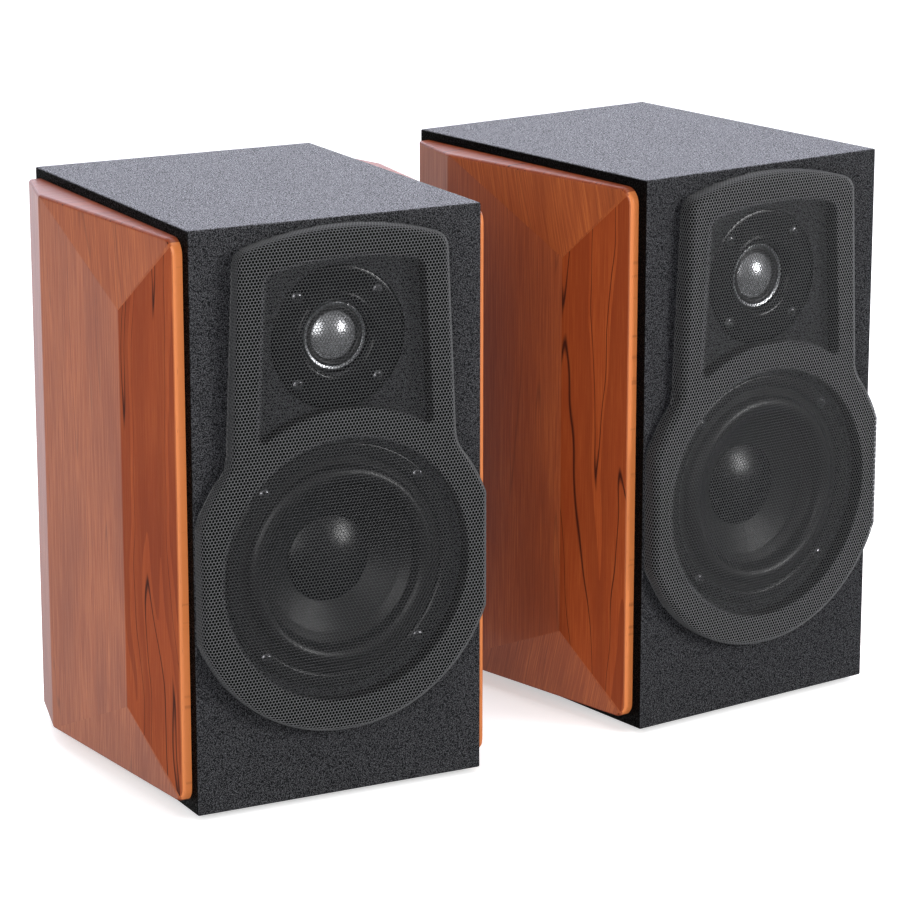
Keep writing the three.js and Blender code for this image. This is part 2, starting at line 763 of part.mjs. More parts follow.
// A moulded insert: a rim that rests on the plate and a tub that goes through its hole.
function insert({ x, z, halfWidth, halfHeight }, tubDepth, face, lap = FLANGE.lap, rim = FLANGE.thickness) {
  return [
    plate(rectangle(x, z, halfWidth, halfHeight), face, face + rim),
    plate(rectangle(x, z, halfWidth - lap, halfHeight - lap), face - tubDepth, face + WELD),
  ];
}

const PLATE_FACE = REAR + AMP_PLATE.thickness + GAP;

// Two rows of signal sockets and a pair of speaker terminals on one moulded panel.
function connectionPanel() {
  const { x, z, columns, rows, barrelRadius, barrelLength, postX, postLength } = SOCKETS;
  const barrels = columns.flatMap((dx) => rows.map((dz) =>
    bar(x + dx, z + dz, barrelRadius, [PLATE_FACE, PLATE_FACE + barrelLength])));
  const posts = rows.map((dz) =>
    bar(x + postX, z + dz, POST_RADIUS, [PLATE_FACE, PLATE_FACE + postLength]));
  return join(...insert(SOCKETS, 14, PLATE_FACE), ...barrels, ...posts);
}

function mainsInlet() {
  const { x, z, halfWidth, halfHeight, wall, pocketDepth, pin } = INLET;
  const inner = rectangle(x, z, halfWidth - FLANGE.lap - wall, halfHeight - FLANGE.lap - wall);
  const pocket = plate(inner, PLATE_FACE - pocketDepth, PLATE_FACE + FLANGE.thickness + WELD);
  const pins = [-pin.x, pin.x].map((dx) =>
    bar(x + dx, z, pin.radius, [PLATE_FACE - pocketDepth - WELD, PLATE_FACE - WELD]));
  return join(cut(join(...insert(INLET, 18, PLATE_FACE)), pocket), ...pins);
}

function terminalPlate() {
  const { z, lap, flange, postX, postLength } = TERMINALS;
  const posts = [-postX, postX].map((x) => bar(x, z, POST_RADIUS, [REAR, REAR + postLength]));
  return join(...insert({ x: 0, ...TERMINALS }, 14, REAR, lap, flange), ...posts);
}

// ---------- assembly ----------
function speaker(name, { yaw, ...place }) {
  const group = new THREE.Group();
  group.position.set(place.x, place.y, FOOT.height);
  group.rotation.z = radians(yaw);
  const add = (part, geometry, look) => {
    const mesh = new THREE.Mesh(geometry, look);
    mesh.name = `${name}_${part}`;
    group.add(mesh);
  };
  const powered = name === 'left';
  const outward = powered ? -1 : 1;
  const opening = powered ? AMP_CUT_OUT : TERMINAL_CUT_OUT;
  const openingHalfHeight = (opening.top - opening.bottom) / 2;
  const cutOut = rectangle(0, opening.bottom + openingHalfHeight, opening.halfWidth, openingHalfHeight);
  add('cabinet_shell', cabinetShell(), VINYL);
  add('front_baffle', frontBaffle(), VINYL);
  add('rear_panel', rearPanel(cutOut), BOARD);
  add('outer_cheek', cheek(outward), VENEER);
  add('inner_cheek', cheek(-outward), VENEER);
  add('grille_frame', grilleFrame(), BLACK_PLASTIC);
  add('grille_cloth', grilleCloth(), MESH_CLOTH);
  add('tweeter_faceplate', tweeterFaceplate(), BLACK_PLASTIC);
  add('tweeter_ring', tweeterRing(), BRIGHT_STEEL);
  add('tweeter_dome', tweeterDome(), SILVER_DOME);
  add('tweeter_motor', tweeterMotor(), FERRITE);
  add('woofer_basket', wooferBasket(), PAINTED_STEEL);
  add('woofer_surround', wooferSurround(), RUBBER);
  add('woofer_cone', wooferCone(), CONE_PAPER);
  add('woofer_dust_cap', wooferDustCap(), CONE_PAPER);
  add('woofer_voice_coil', wooferVoiceCoil(), COPPER);
  add('woofer_spider', wooferSpider(), SPIDER_CLOTH);
  add('woofer_magnet', wooferMagnet(), FERRITE);
  add('woofer_yoke', wooferYoke(), BRIGHT_STEEL);
  add('reflex_port', reflexPort(), BLACK_PLASTIC);
  add('crossover_board', crossoverBoard(), CIRCUIT_BOARD);
  const footX = HALF_WIDTH - FOOT.inset;
  for (const [end, y] of [['front', FOOT.inset], ['back', CABINET.depth - FOOT.inset]]) {
    add(`foot_${end}_a`, foot(-footX, y), RUBBER);
    add(`foot_${end}_b`, foot(footX, y), RUBBER);
  }
  if (powered) {
    add('amplifier_plate', amplifierPlate(), PAINTED_STEEL);
    KNOBS.forEach((each) => add(each.name, knob(each), BLACK_PLASTIC));
    add('power_switch', powerSwitch(), BLACK_PLASTIC);
    add('connection_panel', connectionPanel(), SOCKET_PLASTIC);
    add('mains_inlet', mainsInlet(), SOCKET_PLASTIC);
    add('amplifier_board', amplifierBoard(), CIRCUIT_BOARD);
    add('transformer', transformer(), FERRITE);
  } else {
    add('terminal_plate', terminalPlate(), SOCKET_PLASTIC);
  }
  return group;
}

// Side by side with a slight toe-out. The origin is the middle of the pair's box, on the desk.
const { spacing, stagger, toeOut } = PAIR;
const standing = new THREE.Group();
standing.add(speaker('left', { x: -spacing / 2, y: -stagger / 2, yaw: -toeOut }));
standing.add(speaker('right', { x: spacing / 2, y: stagger / 2, yaw: toeOut }));
const centre = new THREE.Box3().setFromObject(standing, true).getCenter(new THREE.Vector3());
standing.position.set(-centre.x, -centre.y, 0);

const pair = new THREE.Group();
pair.add(standing);

export default pair;
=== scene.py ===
"""The looks of a pair of wood-cheeked desktop speakers, built round their CAD frame.

Each speaker is built in its own frame, in millimetres: x across, y back from the front of the baffle and
z up from the underside of the cabinet. One matrix then sets it in its place in the pair. A shape is a pair
of lists, its points and its faces.
"""

import json
import math

import bmesh
import bpy
import numpy as np
from mathutils import Matrix, Vector
from mathutils.geometry import tessellate_polygon


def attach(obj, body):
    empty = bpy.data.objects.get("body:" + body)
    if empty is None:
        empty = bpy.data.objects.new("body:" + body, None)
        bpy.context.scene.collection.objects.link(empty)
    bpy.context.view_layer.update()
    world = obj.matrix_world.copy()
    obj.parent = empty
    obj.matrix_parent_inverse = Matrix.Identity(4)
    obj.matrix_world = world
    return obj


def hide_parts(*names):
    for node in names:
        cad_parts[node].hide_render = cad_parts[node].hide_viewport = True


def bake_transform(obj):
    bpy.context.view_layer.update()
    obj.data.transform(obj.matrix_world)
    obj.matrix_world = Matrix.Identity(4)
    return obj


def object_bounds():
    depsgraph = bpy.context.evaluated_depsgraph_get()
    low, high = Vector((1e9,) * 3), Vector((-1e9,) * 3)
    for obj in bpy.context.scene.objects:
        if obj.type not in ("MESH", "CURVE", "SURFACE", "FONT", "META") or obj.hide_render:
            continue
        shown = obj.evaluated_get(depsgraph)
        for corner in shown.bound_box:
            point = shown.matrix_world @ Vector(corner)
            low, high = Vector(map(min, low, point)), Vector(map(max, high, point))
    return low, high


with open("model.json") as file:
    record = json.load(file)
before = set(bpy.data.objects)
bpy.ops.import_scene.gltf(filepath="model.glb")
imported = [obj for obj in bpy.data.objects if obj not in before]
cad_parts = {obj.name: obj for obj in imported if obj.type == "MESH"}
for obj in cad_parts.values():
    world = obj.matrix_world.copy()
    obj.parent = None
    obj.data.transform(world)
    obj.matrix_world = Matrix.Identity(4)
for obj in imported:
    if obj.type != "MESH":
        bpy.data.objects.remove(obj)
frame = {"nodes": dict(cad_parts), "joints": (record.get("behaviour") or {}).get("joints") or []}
cad_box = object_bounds()

MM = 0.001
SAME = 0.03  # CAD corners closer than this, in mm, are one corner
ROUND = 96  # sides of a turned part
FINE_ROUND = 128  # sides of one that is seen close to
GAP = 0.3  # the CAD's gap between neighbours


# ---------- reading the frame ----------
class Speaker:
    """One speaker's frame, and its CAD nodes seen from it."""

    def __init__(self, side):
        self.side = side
        axis = next(j["axis"] for j in frame["joints"] if j["name"] == f"{side}_grille_pull")
        turn = Matrix.Rotation(math.atan2(axis[0], -axis[1]), 4, "Z")
        self.matrix = turn
        low, high = self.span("cabinet_shell")
        front = self.span("front_baffle")[0].y
        self.matrix = turn @ Matrix.Translation(Vector(((low.x + high.x) / 2, front, low.z)) * MM)
        self.half_width = (high.x - low.x) / 2
        self.height = high.z - low.z
        self.depth = self.span("cabinet_shell")[1].y
        self.wall = self.span("front_baffle")[1].y
        self.woofer_z = self.axis("woofer_cone").z
        self.tweeter_z = self.axis("tweeter_faceplate").z

    def mesh(self, node):
        return frame["nodes"][f"{self.side}_{node}"].data

    def points(self, node):
        mesh = self.mesh(node)
        flat = np.empty(len(mesh.vertices) * 3)
        mesh.vertices.foreach_get("co", flat)
        inverse = np.array(self.matrix.inverted())
        return (flat.reshape(-1, 3) @ inverse[:3, :3].T + inverse[:3, 3]) / MM

    def span(self, node):
        points = self.points(node)
        return Vector(points.min(0)), Vector(points.max(0))

    def centre(self, node):
        low, high = self.span(node)
        return (low + high) / 2

    def axis(self, node):
        """The middle of the corners of a turned node, which are evenly spaced round its axis."""
        return Vector(np.unique(np.round(self.points(node), 2), axis=0).mean(0))

    def levels(self, node):
        """The depths at which a node has corners."""
        return sorted(set(np.round(self.points(node)[:, 1], 1)))


def weld(points):
    """Each point's corner number, and the corners, where points that differ by rounding are one corner."""
    corners = np.empty((0, 2))
    numbers = []
    for point in points:
        near = np.flatnonzero(np.abs(corners - point).max(1) < SAME) if len(corners) else ()
        if len(near):
            numbers.append(near[0])
        else:
            numbers.append(len(corners))
            corners = np.vstack([corners, point])
    return numbers, corners


def sides(polygon):
    corners = list(polygon.vertices)
    return zip(corners, corners[1:] + corners[:1])


def flat_loops(speaker, node, level=None):
    """The (x, z) outlines of a CAD node's flat face at a depth, or of its front face, largest first."""
    points = speaker.points(node)
    level = points[:, 1].min() if level is None else level
    flat = np.abs(points[:, 1] - level) < SAME * 2
    chosen = np.flatnonzero(flat)
    numbers, corners = weld(points[chosen][:, [0, 2]])
    number = dict(zip(chosen, numbers))
    links = set()
    for polygon in speaker.mesh(node).polygons:
        if all(flat[v] for v in polygon.vertices):
            for a, b in sides(polygon):
                link = (number[a], number[b])
                if link[::-1] in links:
                    links.remove(link[::-1])
                else:
                    links.add(link)
    after = dict(links)
    loops = []
    while after:
        start, here = after.popitem()
        loop = [start]
        while here != start:
            loop.append(here)
            here = after.pop(here)
        loops.append(corners[loop])
    return sorted(loops, key=lambda loop: -np.prod(np.ptp(loop, 0)))


def turned_profile(speaker, node):
    """The (radius, y) outline of a CAD node that was turned about a front-to-back axis."""
    points = speaker.points(node)
    centre = speaker.axis(node)
    across, up = points[:, 0] - centre.x, points[:, 2] - centre.z
    radius, angle = np.hypot(across, up), np.arctan2(up, across)
    numbers, corners = weld(np.stack([radius, points[:, 1]], 1))
    near = {}
    for polygon in speaker.mesh(node).polygons:
        for a, b in sides(polygon):
            on_axis = min(radius[a], radius[b]) < SAME
            in_line = math.cos(angle[a] - angle[b]) > 1 - 1e-4
            if numbers[a] != numbers[b] and (on_axis or in_line):
                near.setdefault(numbers[a], set()).add(numbers[b])
                near.setdefault(numbers[b], set()).add(numbers[a])
    start = min(near, key=lambda n: (len(near[n]), n))
    path = [start]
    while True:
        onward = sorted(n for n in near[path[-1]] if n not in path)
        if not onward:
            return corners[path]
        path.append(onward[0])


# ---------- outlines ----------
def arc(centre, radius, start, end, steps=12):
    """Points along an arc, with its angles in degrees."""
    angles = np.radians(np.linspace(start, end, steps + 1))
    return np.stack([centre[0] + radius * np.cos(angles), centre[1] + radius * np.sin(angles)], 1)


def inset(loop, distance):
    """A closed outline moved to its left. An outer outline runs anticlockwise and a hole clockwise."""
    ahead = np.roll(loop, -1, 0) - loop
    ahead /= np.linalg.norm(ahead, axis=1)[:, None]
    left = np.stack([-ahead[:, 1], ahead[:, 0]], 1)
    before = np.roll(left, 1, 0)
    return loop + (left + before) / (1 + (left * before).sum(1))[:, None] * distance


def soften(loop, fillet, steps=4, closed=True):
    """An outline with its corners rounded by `fillet`, and its shallow corners drawn into smooth curves."""
    smooth_turn, longest_reach = math.radians(50), 4
    points = []
    last = len(loop) - 1
    for i, here in enumerate(loop):
        if not closed and i in (0, last):
            points.append(here)
            continue
        to_before = loop[i - 1] - here
        to_after = loop[(i + 1) % len(loop)] - here
        lengths = np.linalg.norm(to_before), np.linalg.norm(to_after)
        turn = math.pi - math.acos(np.clip(to_before @ to_after / (lengths[0] * lengths[1]), -1, 1))
        reach = min(lengths) / 2
        if turn > smooth_turn:
            reach = min(reach * 0.9, fillet * math.tan(turn / 2))
        reach = min(reach, longest_reach)
        start = here + to_before / lengths[0] * reach
        end = here + to_after / lengths[1] * reach
        for t in np.linspace(0, 1, steps + 1):
            points.append(start * (1 - t) ** 2 + here * 2 * t * (1 - t) + end * t**2)
    return np.array(points)


def inside(points, loop):
    """Which (x, z) points lie inside a closed outline."""
    x, z = points[:, 0, None], points[:, 1, None]
    x0, z0 = loop[:, 0], loop[:, 1]
    x1, z1 = np.roll(x0, -1), np.roll(z0, -1)
    straddles = (z0 > z) != (z1 > z)
    crossing = (x1 - x0) * (z - z0) / np.where(z1 == z0, 1, z1 - z0) + x0
    return (straddles & (x < crossing)).sum(1) % 2 == 1


def nearest(points, loop):
    """The nearest place on a closed outline to each point."""
    best, best_gap = np.zeros_like(points), np.full(len(points), np.inf)
    for a, b in zip(loop, np.roll(loop, -1, 0)):
        along = b - a
        share = np.clip((points - a) @ along / (along @ along), 0, 1)
        place = a + share[:, None] * along
        gap = np.linalg.norm(points - place, axis=1)
        closer = gap < best_gap
        best[closer], best_gap[closer] = place[closer], gap[closer]
    return best, best_gap


# ---------- shapes ----------
def combine(*shapes):
    points, faces = [], []
    for own_points, own_faces in shapes:
        faces += [[v + len(points) for v in face] for face in own_faces]
        points += [tuple(p) for p in own_points]
    return points, faces


def placed(shape, x=0, y=0, z=0, turn=None):
    """A shape turned by a matrix, then moved."""
    matrix = Matrix.Translation((x, y, z)) @ (turn or Matrix.Identity(4))
    return [tuple(matrix @ Vector(p)) for p in shape[0]], shape[1]


def lathe(profile, steps=ROUND, flutes=0, flute_depth=0):
    """A profile of (radius, y) points turned about the y axis. Flutes are cut into its widest part."""
    closed = min(p[0] for p in profile) > SAME
    widest = max(p[0] for p in profile)
    points, faces, rings = [], [], []
    for radius, y in profile:
        if radius < SAME:
            rings.append([len(points)] * steps)
            points.append((0, y, 0))
            continue
        rings.append(list(range(len(points), len(points) + steps)))
        share = max(0, (radius / widest - 0.85) / 0.15)
        for k in range(steps):
            angle = 2 * math.pi * k / steps
            cut = flute_depth * share * (0.5 - 0.5 * math.cos(flutes * angle)) ** 2
            points.append(((radius - cut) * math.cos(angle), y, (radius - cut) * math.sin(angle)))
    for i, ring in enumerate(rings if closed else rings[:-1]):
        onward = rings[(i + 1) % len(rings)]
        for k in range(steps):
            n = (k + 1) % steps
            face = list(dict.fromkeys([ring[k], ring[n], onward[n], onward[k]]))
            if len(face) > 2:
                faces.append(face)
    return points, faces


def spun(profile, fillet=0, x=0, z=0, steps=ROUND, **flutes):
    """A profile with its corners rounded, turned about a front-to-back axis at (x, z)."""
    profile = np.array(profile, float)
    if fillet:
        profile = soften(profile, fillet, closed=profile[:, 0].min() > SAME)
    return placed(lathe(profile, steps, **flutes), x=x, z=z)


def slab(loops, front, back, edge=0.4, hole_edge=None, back_edge=0.0):
    """A plate between two depths, with rounded edges. The first outline is its rim, the others its holes."""
    steps = 4
    points, faces = [], []
    front_cap, back_cap = [], []
    for number, loop in enumerate(loops):
        radius = hole_edge if number and hole_edge is not None else edge
        bends = np.linspace(0, math.pi / 2, steps + 1)
        rings = [(radius * (1 - math.sin(a)), front + radius * (1 - math.cos(a))) for a in bends]
        rings.append((0, back - back_edge))
        if back_edge:
            for a in bends[1:]:
                rings.append((back_edge * (1 - math.cos(a)), back - back_edge * (1 - math.sin(a))))
        first = len(points)
        for distance, y in rings:
            points += [(x, y, z) for x, z in inset(loop, distance)]
        count = len(loop)
        for k in range(len(rings) - 1):
            for i in range(count):
                here, there = first + k * count, first + (k + 1) * count
                n = (i + 1) % count
                faces.append([here + i, there + i, there + n, here + n])
        front_cap.append(list(range(first, first + count)))
        back_cap.append(list(range(len(points) - count, len(points))))
    for cap in (front_cap, back_cap):
        numbers = [n for loop in cap for n in loop]
        flat = [[Vector((points[n][0], points[n][2], 0)) for n in loop] for loop in cap]
        faces += [[numbers[v] for v in triangle] for triangle in tessellate_polygon(flat)]
    return points, faces


def block(x, y, z, edge=0.5, steps=3):
    """A box between three pairs of limits, with rounded edges."""
    low, high = Vector((x[0], y[0], z[0])), Vector((x[1], y[1], z[1]))
    build = bmesh.new()
    bmesh.ops.create_cube(build, size=1)
    for vertex in build.verts:
        vertex.co = (low + high) / 2 + Vector(a * b for a, b in zip(vertex.co, high - low))
    if edge:
        bmesh.ops.bevel(build, geom=build.edges, offset=edge, segments=steps, profile=0.5, affect="EDGES")
    shape = [tuple(v.co) for v in build.verts], [[v.index for v in f.verts] for f in build.faces]
    build.free()
    return shape


def to_mesh(name, shape, scale=1.0, closed=True):
    """A mesh with its faces pointing out."""
    mesh = bpy.data.meshes.new(name)
    mesh.from_pydata([tuple(c * scale for c in p) for p in shape[0]], [], shape[1])
    if closed:
        build = bmesh.new()
        build.from_mesh(mesh)
        bmesh.ops.recalc_face_normals(build, faces=build.faces)
        build.to_mesh(mesh)
        build.free()
    mesh.update()
    return mesh


def settled(thing):
    """A copy of an object's mesh with its modifiers applied."""
    bpy.context.view_layer.update()
    graph = bpy.context.evaluated_depsgraph_get()
    return bpy.data.meshes.new_from_object(thing.evaluated_get(graph))


def add_object(name, mesh):
    thing = bpy.data.objects.new(name, mesh)
    bpy.context.scene.collection.objects.link(thing)
    return thing


def carve(shape, *tools):
    """A shape with closed shapes cut out of it."""
    body = add_object("carved", to_mesh("carved", shape))
    cutters = [add_object("cutter", to_mesh("cutter", tool)) for tool in tools]
    for cutter in cutters:
        boolean = body.modifiers.new("cut", "BOOLEAN")
        boolean.object = cutter
        boolean.operation = "DIFFERENCE"
        boolean.solver = "EXACT"
    mesh = settled(body)
    result = [tuple(v.co) for v in mesh.vertices], [list(p.vertices) for p in mesh.polygons]
    for thing in (body, *cutters):
        bpy.data.objects.remove(thing)
    return result


def rod(x, z, radius, front, back, edge=0.3, steps=48):
    """A round bar that points backwards, with softened ends."""
    return spun([(0, front), (radius, front), (radius, back), (0, back)], edge, x, z, steps)


# ---------- materials ----------
class Shader:
    """A tree of shader nodes. A value is a number, a colour or another node's output."""

    def __init__(self, tree):
        self.tree = tree

    def node(self, kind, inputs=None, **settings):
        node = self.tree.nodes.new(f"ShaderNode{kind}")
        for name, value in settings.items():
            setattr(node, name, value)
        for key, value in (inputs or {}).items():
            self.join(value, node.inputs[key])
        return node

    def join(self, value, socket):
        if isinstance(value, bpy.types.NodeSocket):
            self.tree.links.new(value, socket)
        else:
            socket.default_value = value

    def stretch(self, vector, scale):
        return self.node("Mapping", {"Vector": vector, "Scale": scale}).outputs[0]

    def attribute(self, name):
        return self.node("Attribute", attribute_type="GEOMETRY", attribute_name=name)

    def math(self, operation, *values):
        return self.node("Math", dict(enumerate(values)), operation=operation).outputs[0]

    def noise(self, vector, scale, detail=2.0, roughness=0.5, distortion=0.0):
        inputs = {"Vector": vector, "Scale": scale, "Detail": detail, "Roughness": roughness}
        return self.node("TexNoise", {**inputs, "Distortion": distortion}).outputs[0]

    def cells(self, vector, scale, feature="F1"):
        inputs = {"Vector": vector, "Scale": scale}
        return self.node("TexVoronoi", inputs, feature=feature).outputs["Distance"]

    def fade(self, value, low, high, start=0.0, end=1.0, **settings):
        inputs = {"Value": value, "From Min": low, "From Max": high, "To Min": start, "To Max": end}
        return self.node("MapRange", inputs, **settings).outputs[0]

    def mix(self, share, first, second):
        colours = {0: share, 6: self.opaque(first), 7: self.opaque(second)}
        return self.node("Mix", colours, data_type="RGBA").outputs[2]

    def ramp(self, value, *stops):
        node = self.node("ValToRGB", {"Fac": value})
        stones = node.color_ramp.elements
        while len(stones) < len(stops):
            stones.new(0.5)
        for stone, (position, colour) in zip(stones, stops):
            stone.position, stone.color = position, self.opaque(colour)
        return node.outputs[0]

    @staticmethod
    def opaque(colour):
        return colour if isinstance(colour, bpy.types.NodeSocket) else (*colour, 1.0)


class Look(Shader):
    """A procedural material. Its coordinates are millimetres in the piece's own frame."""

    def __init__(self, slot, name=None):
        self.material = bpy.data.materials.new(name or slot)
        self.material.use_nodes = True
        self.material["slot"] = slot
        super().__init__(self.material.node_tree)
        self.surface = self.tree.nodes["Principled BSDF"]
        own = self.node("TexCoord").outputs["Object"]
        self.place = self.stretch(own, (1 / MM,) * 3)

    def bump(self, height, depth):
        """A normal from a height of 0 to 1 that stands for `depth` millimetres."""
        return self.node("Bump", {"Height": height, "Distance": depth * MM}).outputs[0]

    def finish(self, colour, roughness=0.5, normal=None, **others):
        inputs = {"Base Color": self.opaque(colour), "Roughness": roughness}
        if normal:
            inputs["Normal"] = normal
        for key, value in others.items():
            inputs[key.replace("_", " ").title().replace("Ior", "IOR")] = value
        for key, value in inputs.items():
            self.join(value, self.surface.inputs[key])
        return self.material


def vinyl():
    """Black vinyl wrap with a fine pebble grain that glints on its crests. The crests' colour is also painted
    lighter, as a painted glint. The cabinet's sides, which look left and right, get painted shade: a darker
    colour and less sheen.
    """
    look = Look("black_vinyl")
    facing = look.node("SeparateXYZ", {0: look.node("TexCoord").outputs["Normal"]})
    # Painted shade: 1 on faces that look left or right, the cabinet's sides. They are painted darker and
    # given less sheen.
    painted_side_shade = look.fade(look.math("ABSOLUTE", facing.outputs["X"]), 0.7, 0.95)
    pebbles = look.cells(look.place, 1.7)
    crumbs = look.noise(look.place, 2.6, 2, 0.6)
    swells = look.math("MULTIPLY", look.noise(look.place, 1.3, 1), 0.8)
    height = look.math("ADD", look.math("MULTIPLY", pebbles, -0.7), look.math("ADD", crumbs, swells))
    crest = look.fade(height, 0.42, 0.92)
    # Painted glint: the crests are painted lighter than the hollows.
    colour = look.mix(crest, (0.002, 0.0022, 0.003), (0.052, 0.053, 0.062))
    colour = look.mix(painted_side_shade, colour, (0.0015, 0.0015, 0.0015))
    glint = look.fade(crest, 0.0, 1.0, 0.15, 1.0)
    sheen = look.math("MULTIPLY", glint, look.fade(painted_side_shade, 0.0, 1.0, 1.0, 0.1))
    rough = look.fade(crest, 0.0, 1.0, 0.72, 0.32)
    return look.finish(colour, rough, look.bump(height, 0.3), specular_ior_level=sheen)


def veneer():
    """Lacquered reddish-brown veneer. Attribute `grain` holds mm across it, mm along it, and its figure,
    which also carries the painted highlight.

    The figure is 1 for a dark sheet with veins, 0.3 for a plain one and 0 for the front rim, which is painted
    a pale orange: a painted highlight.
    """
    look = Look("wood_veneer")
    grain = look.attribute("grain").outputs["Vector"]
    figure_and_highlight = look.node("SeparateXYZ", {0: grain}).outputs["Z"]
    drift = look.noise(look.stretch(grain, (0.012, 0.0035, 1)), 1, 3, 0.5)
    sway = look.node("CombineXYZ", {0: look.math("MULTIPLY", drift, 45)}).outputs[0]
    bent = look.node("VectorMath", {0: grain, 1: sway}, operation="ADD").outputs[0]
    rings = look.noise(look.stretch(bent, (0.055, 0.0022, 0.2)), 1, 1, 0.4)
    vein_phase = look.math("FRACT", look.math("MULTIPLY", rings, 6))
    lines = look.math("ABSOLUTE", look.math("SUBTRACT", vein_phase, 0.5))
    bands = look.math("FRACT", look.math("MULTIPLY", rings, 4.5))
    fibres = look.noise(look.stretch(grain, (1.6, 0.03, 1)), 1, 4, 0.65)
    pores = look.noise(look.stretch(grain, (5.5, 0.16, 1)), 1, 2, 0.6)
    clouds = look.noise(look.stretch(grain, (0.03, 0.009, 1)), 1, 2)
    colour = look.ramp(
        fibres, (0.3, (0.222, 0.044, 0.011)), (0.5, (0.300, 0.070, 0.017)), (0.7, (0.425, 0.120, 0.030))
    )
    colour = look.mix(look.math("MULTIPLY", look.fade(clouds, 0.4, 0.7), 0.5), colour, (0.175, 0.032, 0.009))
    colour = look.mix(look.fade(figure_and_highlight, 0.3, 1.0, 0.0, 0.5), colour, (0.225, 0.034, 0.007))
    deep = look.math("MULTIPLY", look.fade(bands, 0.0, 1.0, 0.5, 0.0), figure_and_highlight)
    colour = look.mix(deep, colour, (0.120, 0.019, 0.006))
    veins = look.math("MULTIPLY", look.fade(lines, 0.036, 0.006, 0, 0.9), figure_and_highlight)
    colour = look.mix(veins, colour, (0.020, 0.004, 0.003))
    # Painted highlight: below a figure of 0.3, towards the front rim, the colour turns pale orange.
    colour = look.mix(look.fade(figure_and_highlight, 0.3, 0.0, 0.0, 0.9), colour, (0.60, 0.185, 0.050))
    colour = look.mix(look.fade(pores, 0.38, 0.25, 0, 0.4), colour, (0.07, 0.016, 0.006))
    rough = look.fade(fibres, 0.3, 0.7, 0.54, 0.42)
    lacquer = {
        "specular_ior_level": look.fade(figure_and_highlight, 0.3, 1.0, 0.25, 0.12),
        "coat_roughness": 0.16,
        "coat_weight": look.fade(figure_and_highlight, 0.3, 1.0, 0.22, 0.06),
    }
    return look.finish(colour, rough, look.bump(fibres, 0.03), **lacquer)


def plastic(slot, name, colour, roughness, grain=0.02, metallic=0.0, specular=0.5):
    """Moulded or painted surface with a fine texture and slight changes of sheen."""
    look = Look(slot, name)
    texture = look.noise(look.place, 2.5, 3, 0.6)
    patches = look.noise(look.place, 0.06, 2)
    lighter = tuple(c * 1.35 for c in colour)
    shade = look.mix(look.fade(patches, 0.3, 0.7), colour, lighter)
    rough = look.fade(texture, 0.3, 0.7, roughness - 0.05, roughness + 0.06)
    sheen = {"metallic": metallic, "specular_ior_level": specular}
    return look.finish(shade, rough, look.bump(texture, grain), **sheen)


def mesh_cloth():
    """Black mesh with painted light and shade: its strands are painted paler where the frame is behind them,
    and darker over the openings and round the fold and down the side.
    """
    look = Look("mesh_cloth")
    painted_strand_light = look.attribute("painted_strand_light").outputs["Fac"]
    wear = look.noise(look.place, 0.4, 3, 0.6)
    # Painted shade for strands over the openings, painted light for strands over the frame.
    painted_shade_tone = look.mix(wear, (0.022, 0.0225, 0.024), (0.045, 0.046, 0.048))
    painted_light_tone = look.mix(wear, (0.065, 0.066, 0.069), (0.13, 0.132, 0.136))
    return look.finish(look.mix(painted_strand_light, painted_shade_tone, painted_light_tone), 0.30)


def turned_metal(slot, name, colour, roughness):
    """Metal with fine turning marks round a front-to-back axis."""
    look = Look(slot, name)
    marks = look.noise(look.stretch(look.place, (0.4, 6, 0.4)), 1, 3, 0.6)
    rough = look.fade(marks, 0.3, 0.7, roughness - 0.06, roughness + 0.08)
    return look.finish(colour, rough, look.bump(marks, 0.004), metallic=1.0)


def silver_dome():
    """Coated fabric dome: satin silver over a fine weave."""
    look = Look("silver_dome")
    weave = look.cells(look.place, 1.6, "DISTANCE_TO_EDGE")
    tone = look.noise(look.place, 0.5, 3)
    colour = look.mix(tone, (0.48, 0.485, 0.50), (0.72, 0.73, 0.75))
    return look.finish(colour, 0.27, look.bump(weave, 0.04), metallic=0.8)


def paper(slot, name, colour, roughness):
    """Pressed paper pulp with short fibres and a soft sheen."""
    look = Look(slot, name)
    fibres = look.noise(look.place, 0.9, 5, 0.7, 1.5)
    shade = look.mix(look.fade(fibres, 0.35, 0.65), colour, tuple(c * 1.5 for c in colour))
    rough = look.fade(fibres, 0.3, 0.7, roughness + 0.06, roughness - 0.04)
    return look.finish(shade, rough, look.bump(fibres, 0.05))


def cloth(slot, name, colour):
    """Woven cloth, painted darker where the weave dips between its threads: painted shade."""
    look = Look(slot, name)
    warp = look.node("TexWave", {"Vector": look.place, "Scale": 0.9}, bands_direction="X").outputs[1]
    weft = look.node("TexWave", {"Vector": look.place, "Scale": 0.9}, bands_direction="Z").outputs[1]
    height = look.math("MULTIPLY", warp, weft)
    # Painted shade: darker where either set of threads dips.
    shade = look.mix(height, tuple(c * 0.7 for c in colour), colour)
    return look.finish(shade, 0.85, look.bump(height, 0.1))


def speckled(slot, name, colour, second, roughness, scale=0.5, metallic=0.0):
    """Two shades in small patches, such as ferrite, zinc plating or solder mask."""
    look = Look(slot, name)
    patches = look.noise(look.place, scale, 4, 0.65)
    shade = look.mix(look.fade(patches, 0.35, 0.65), colour, second)
    rough = look.fade(patches, 0.3, 0.7, roughness - 0.05, roughness + 0.08)
    return look.finish(shade, rough, look.bump(patches, 0.03), metallic=metallic)


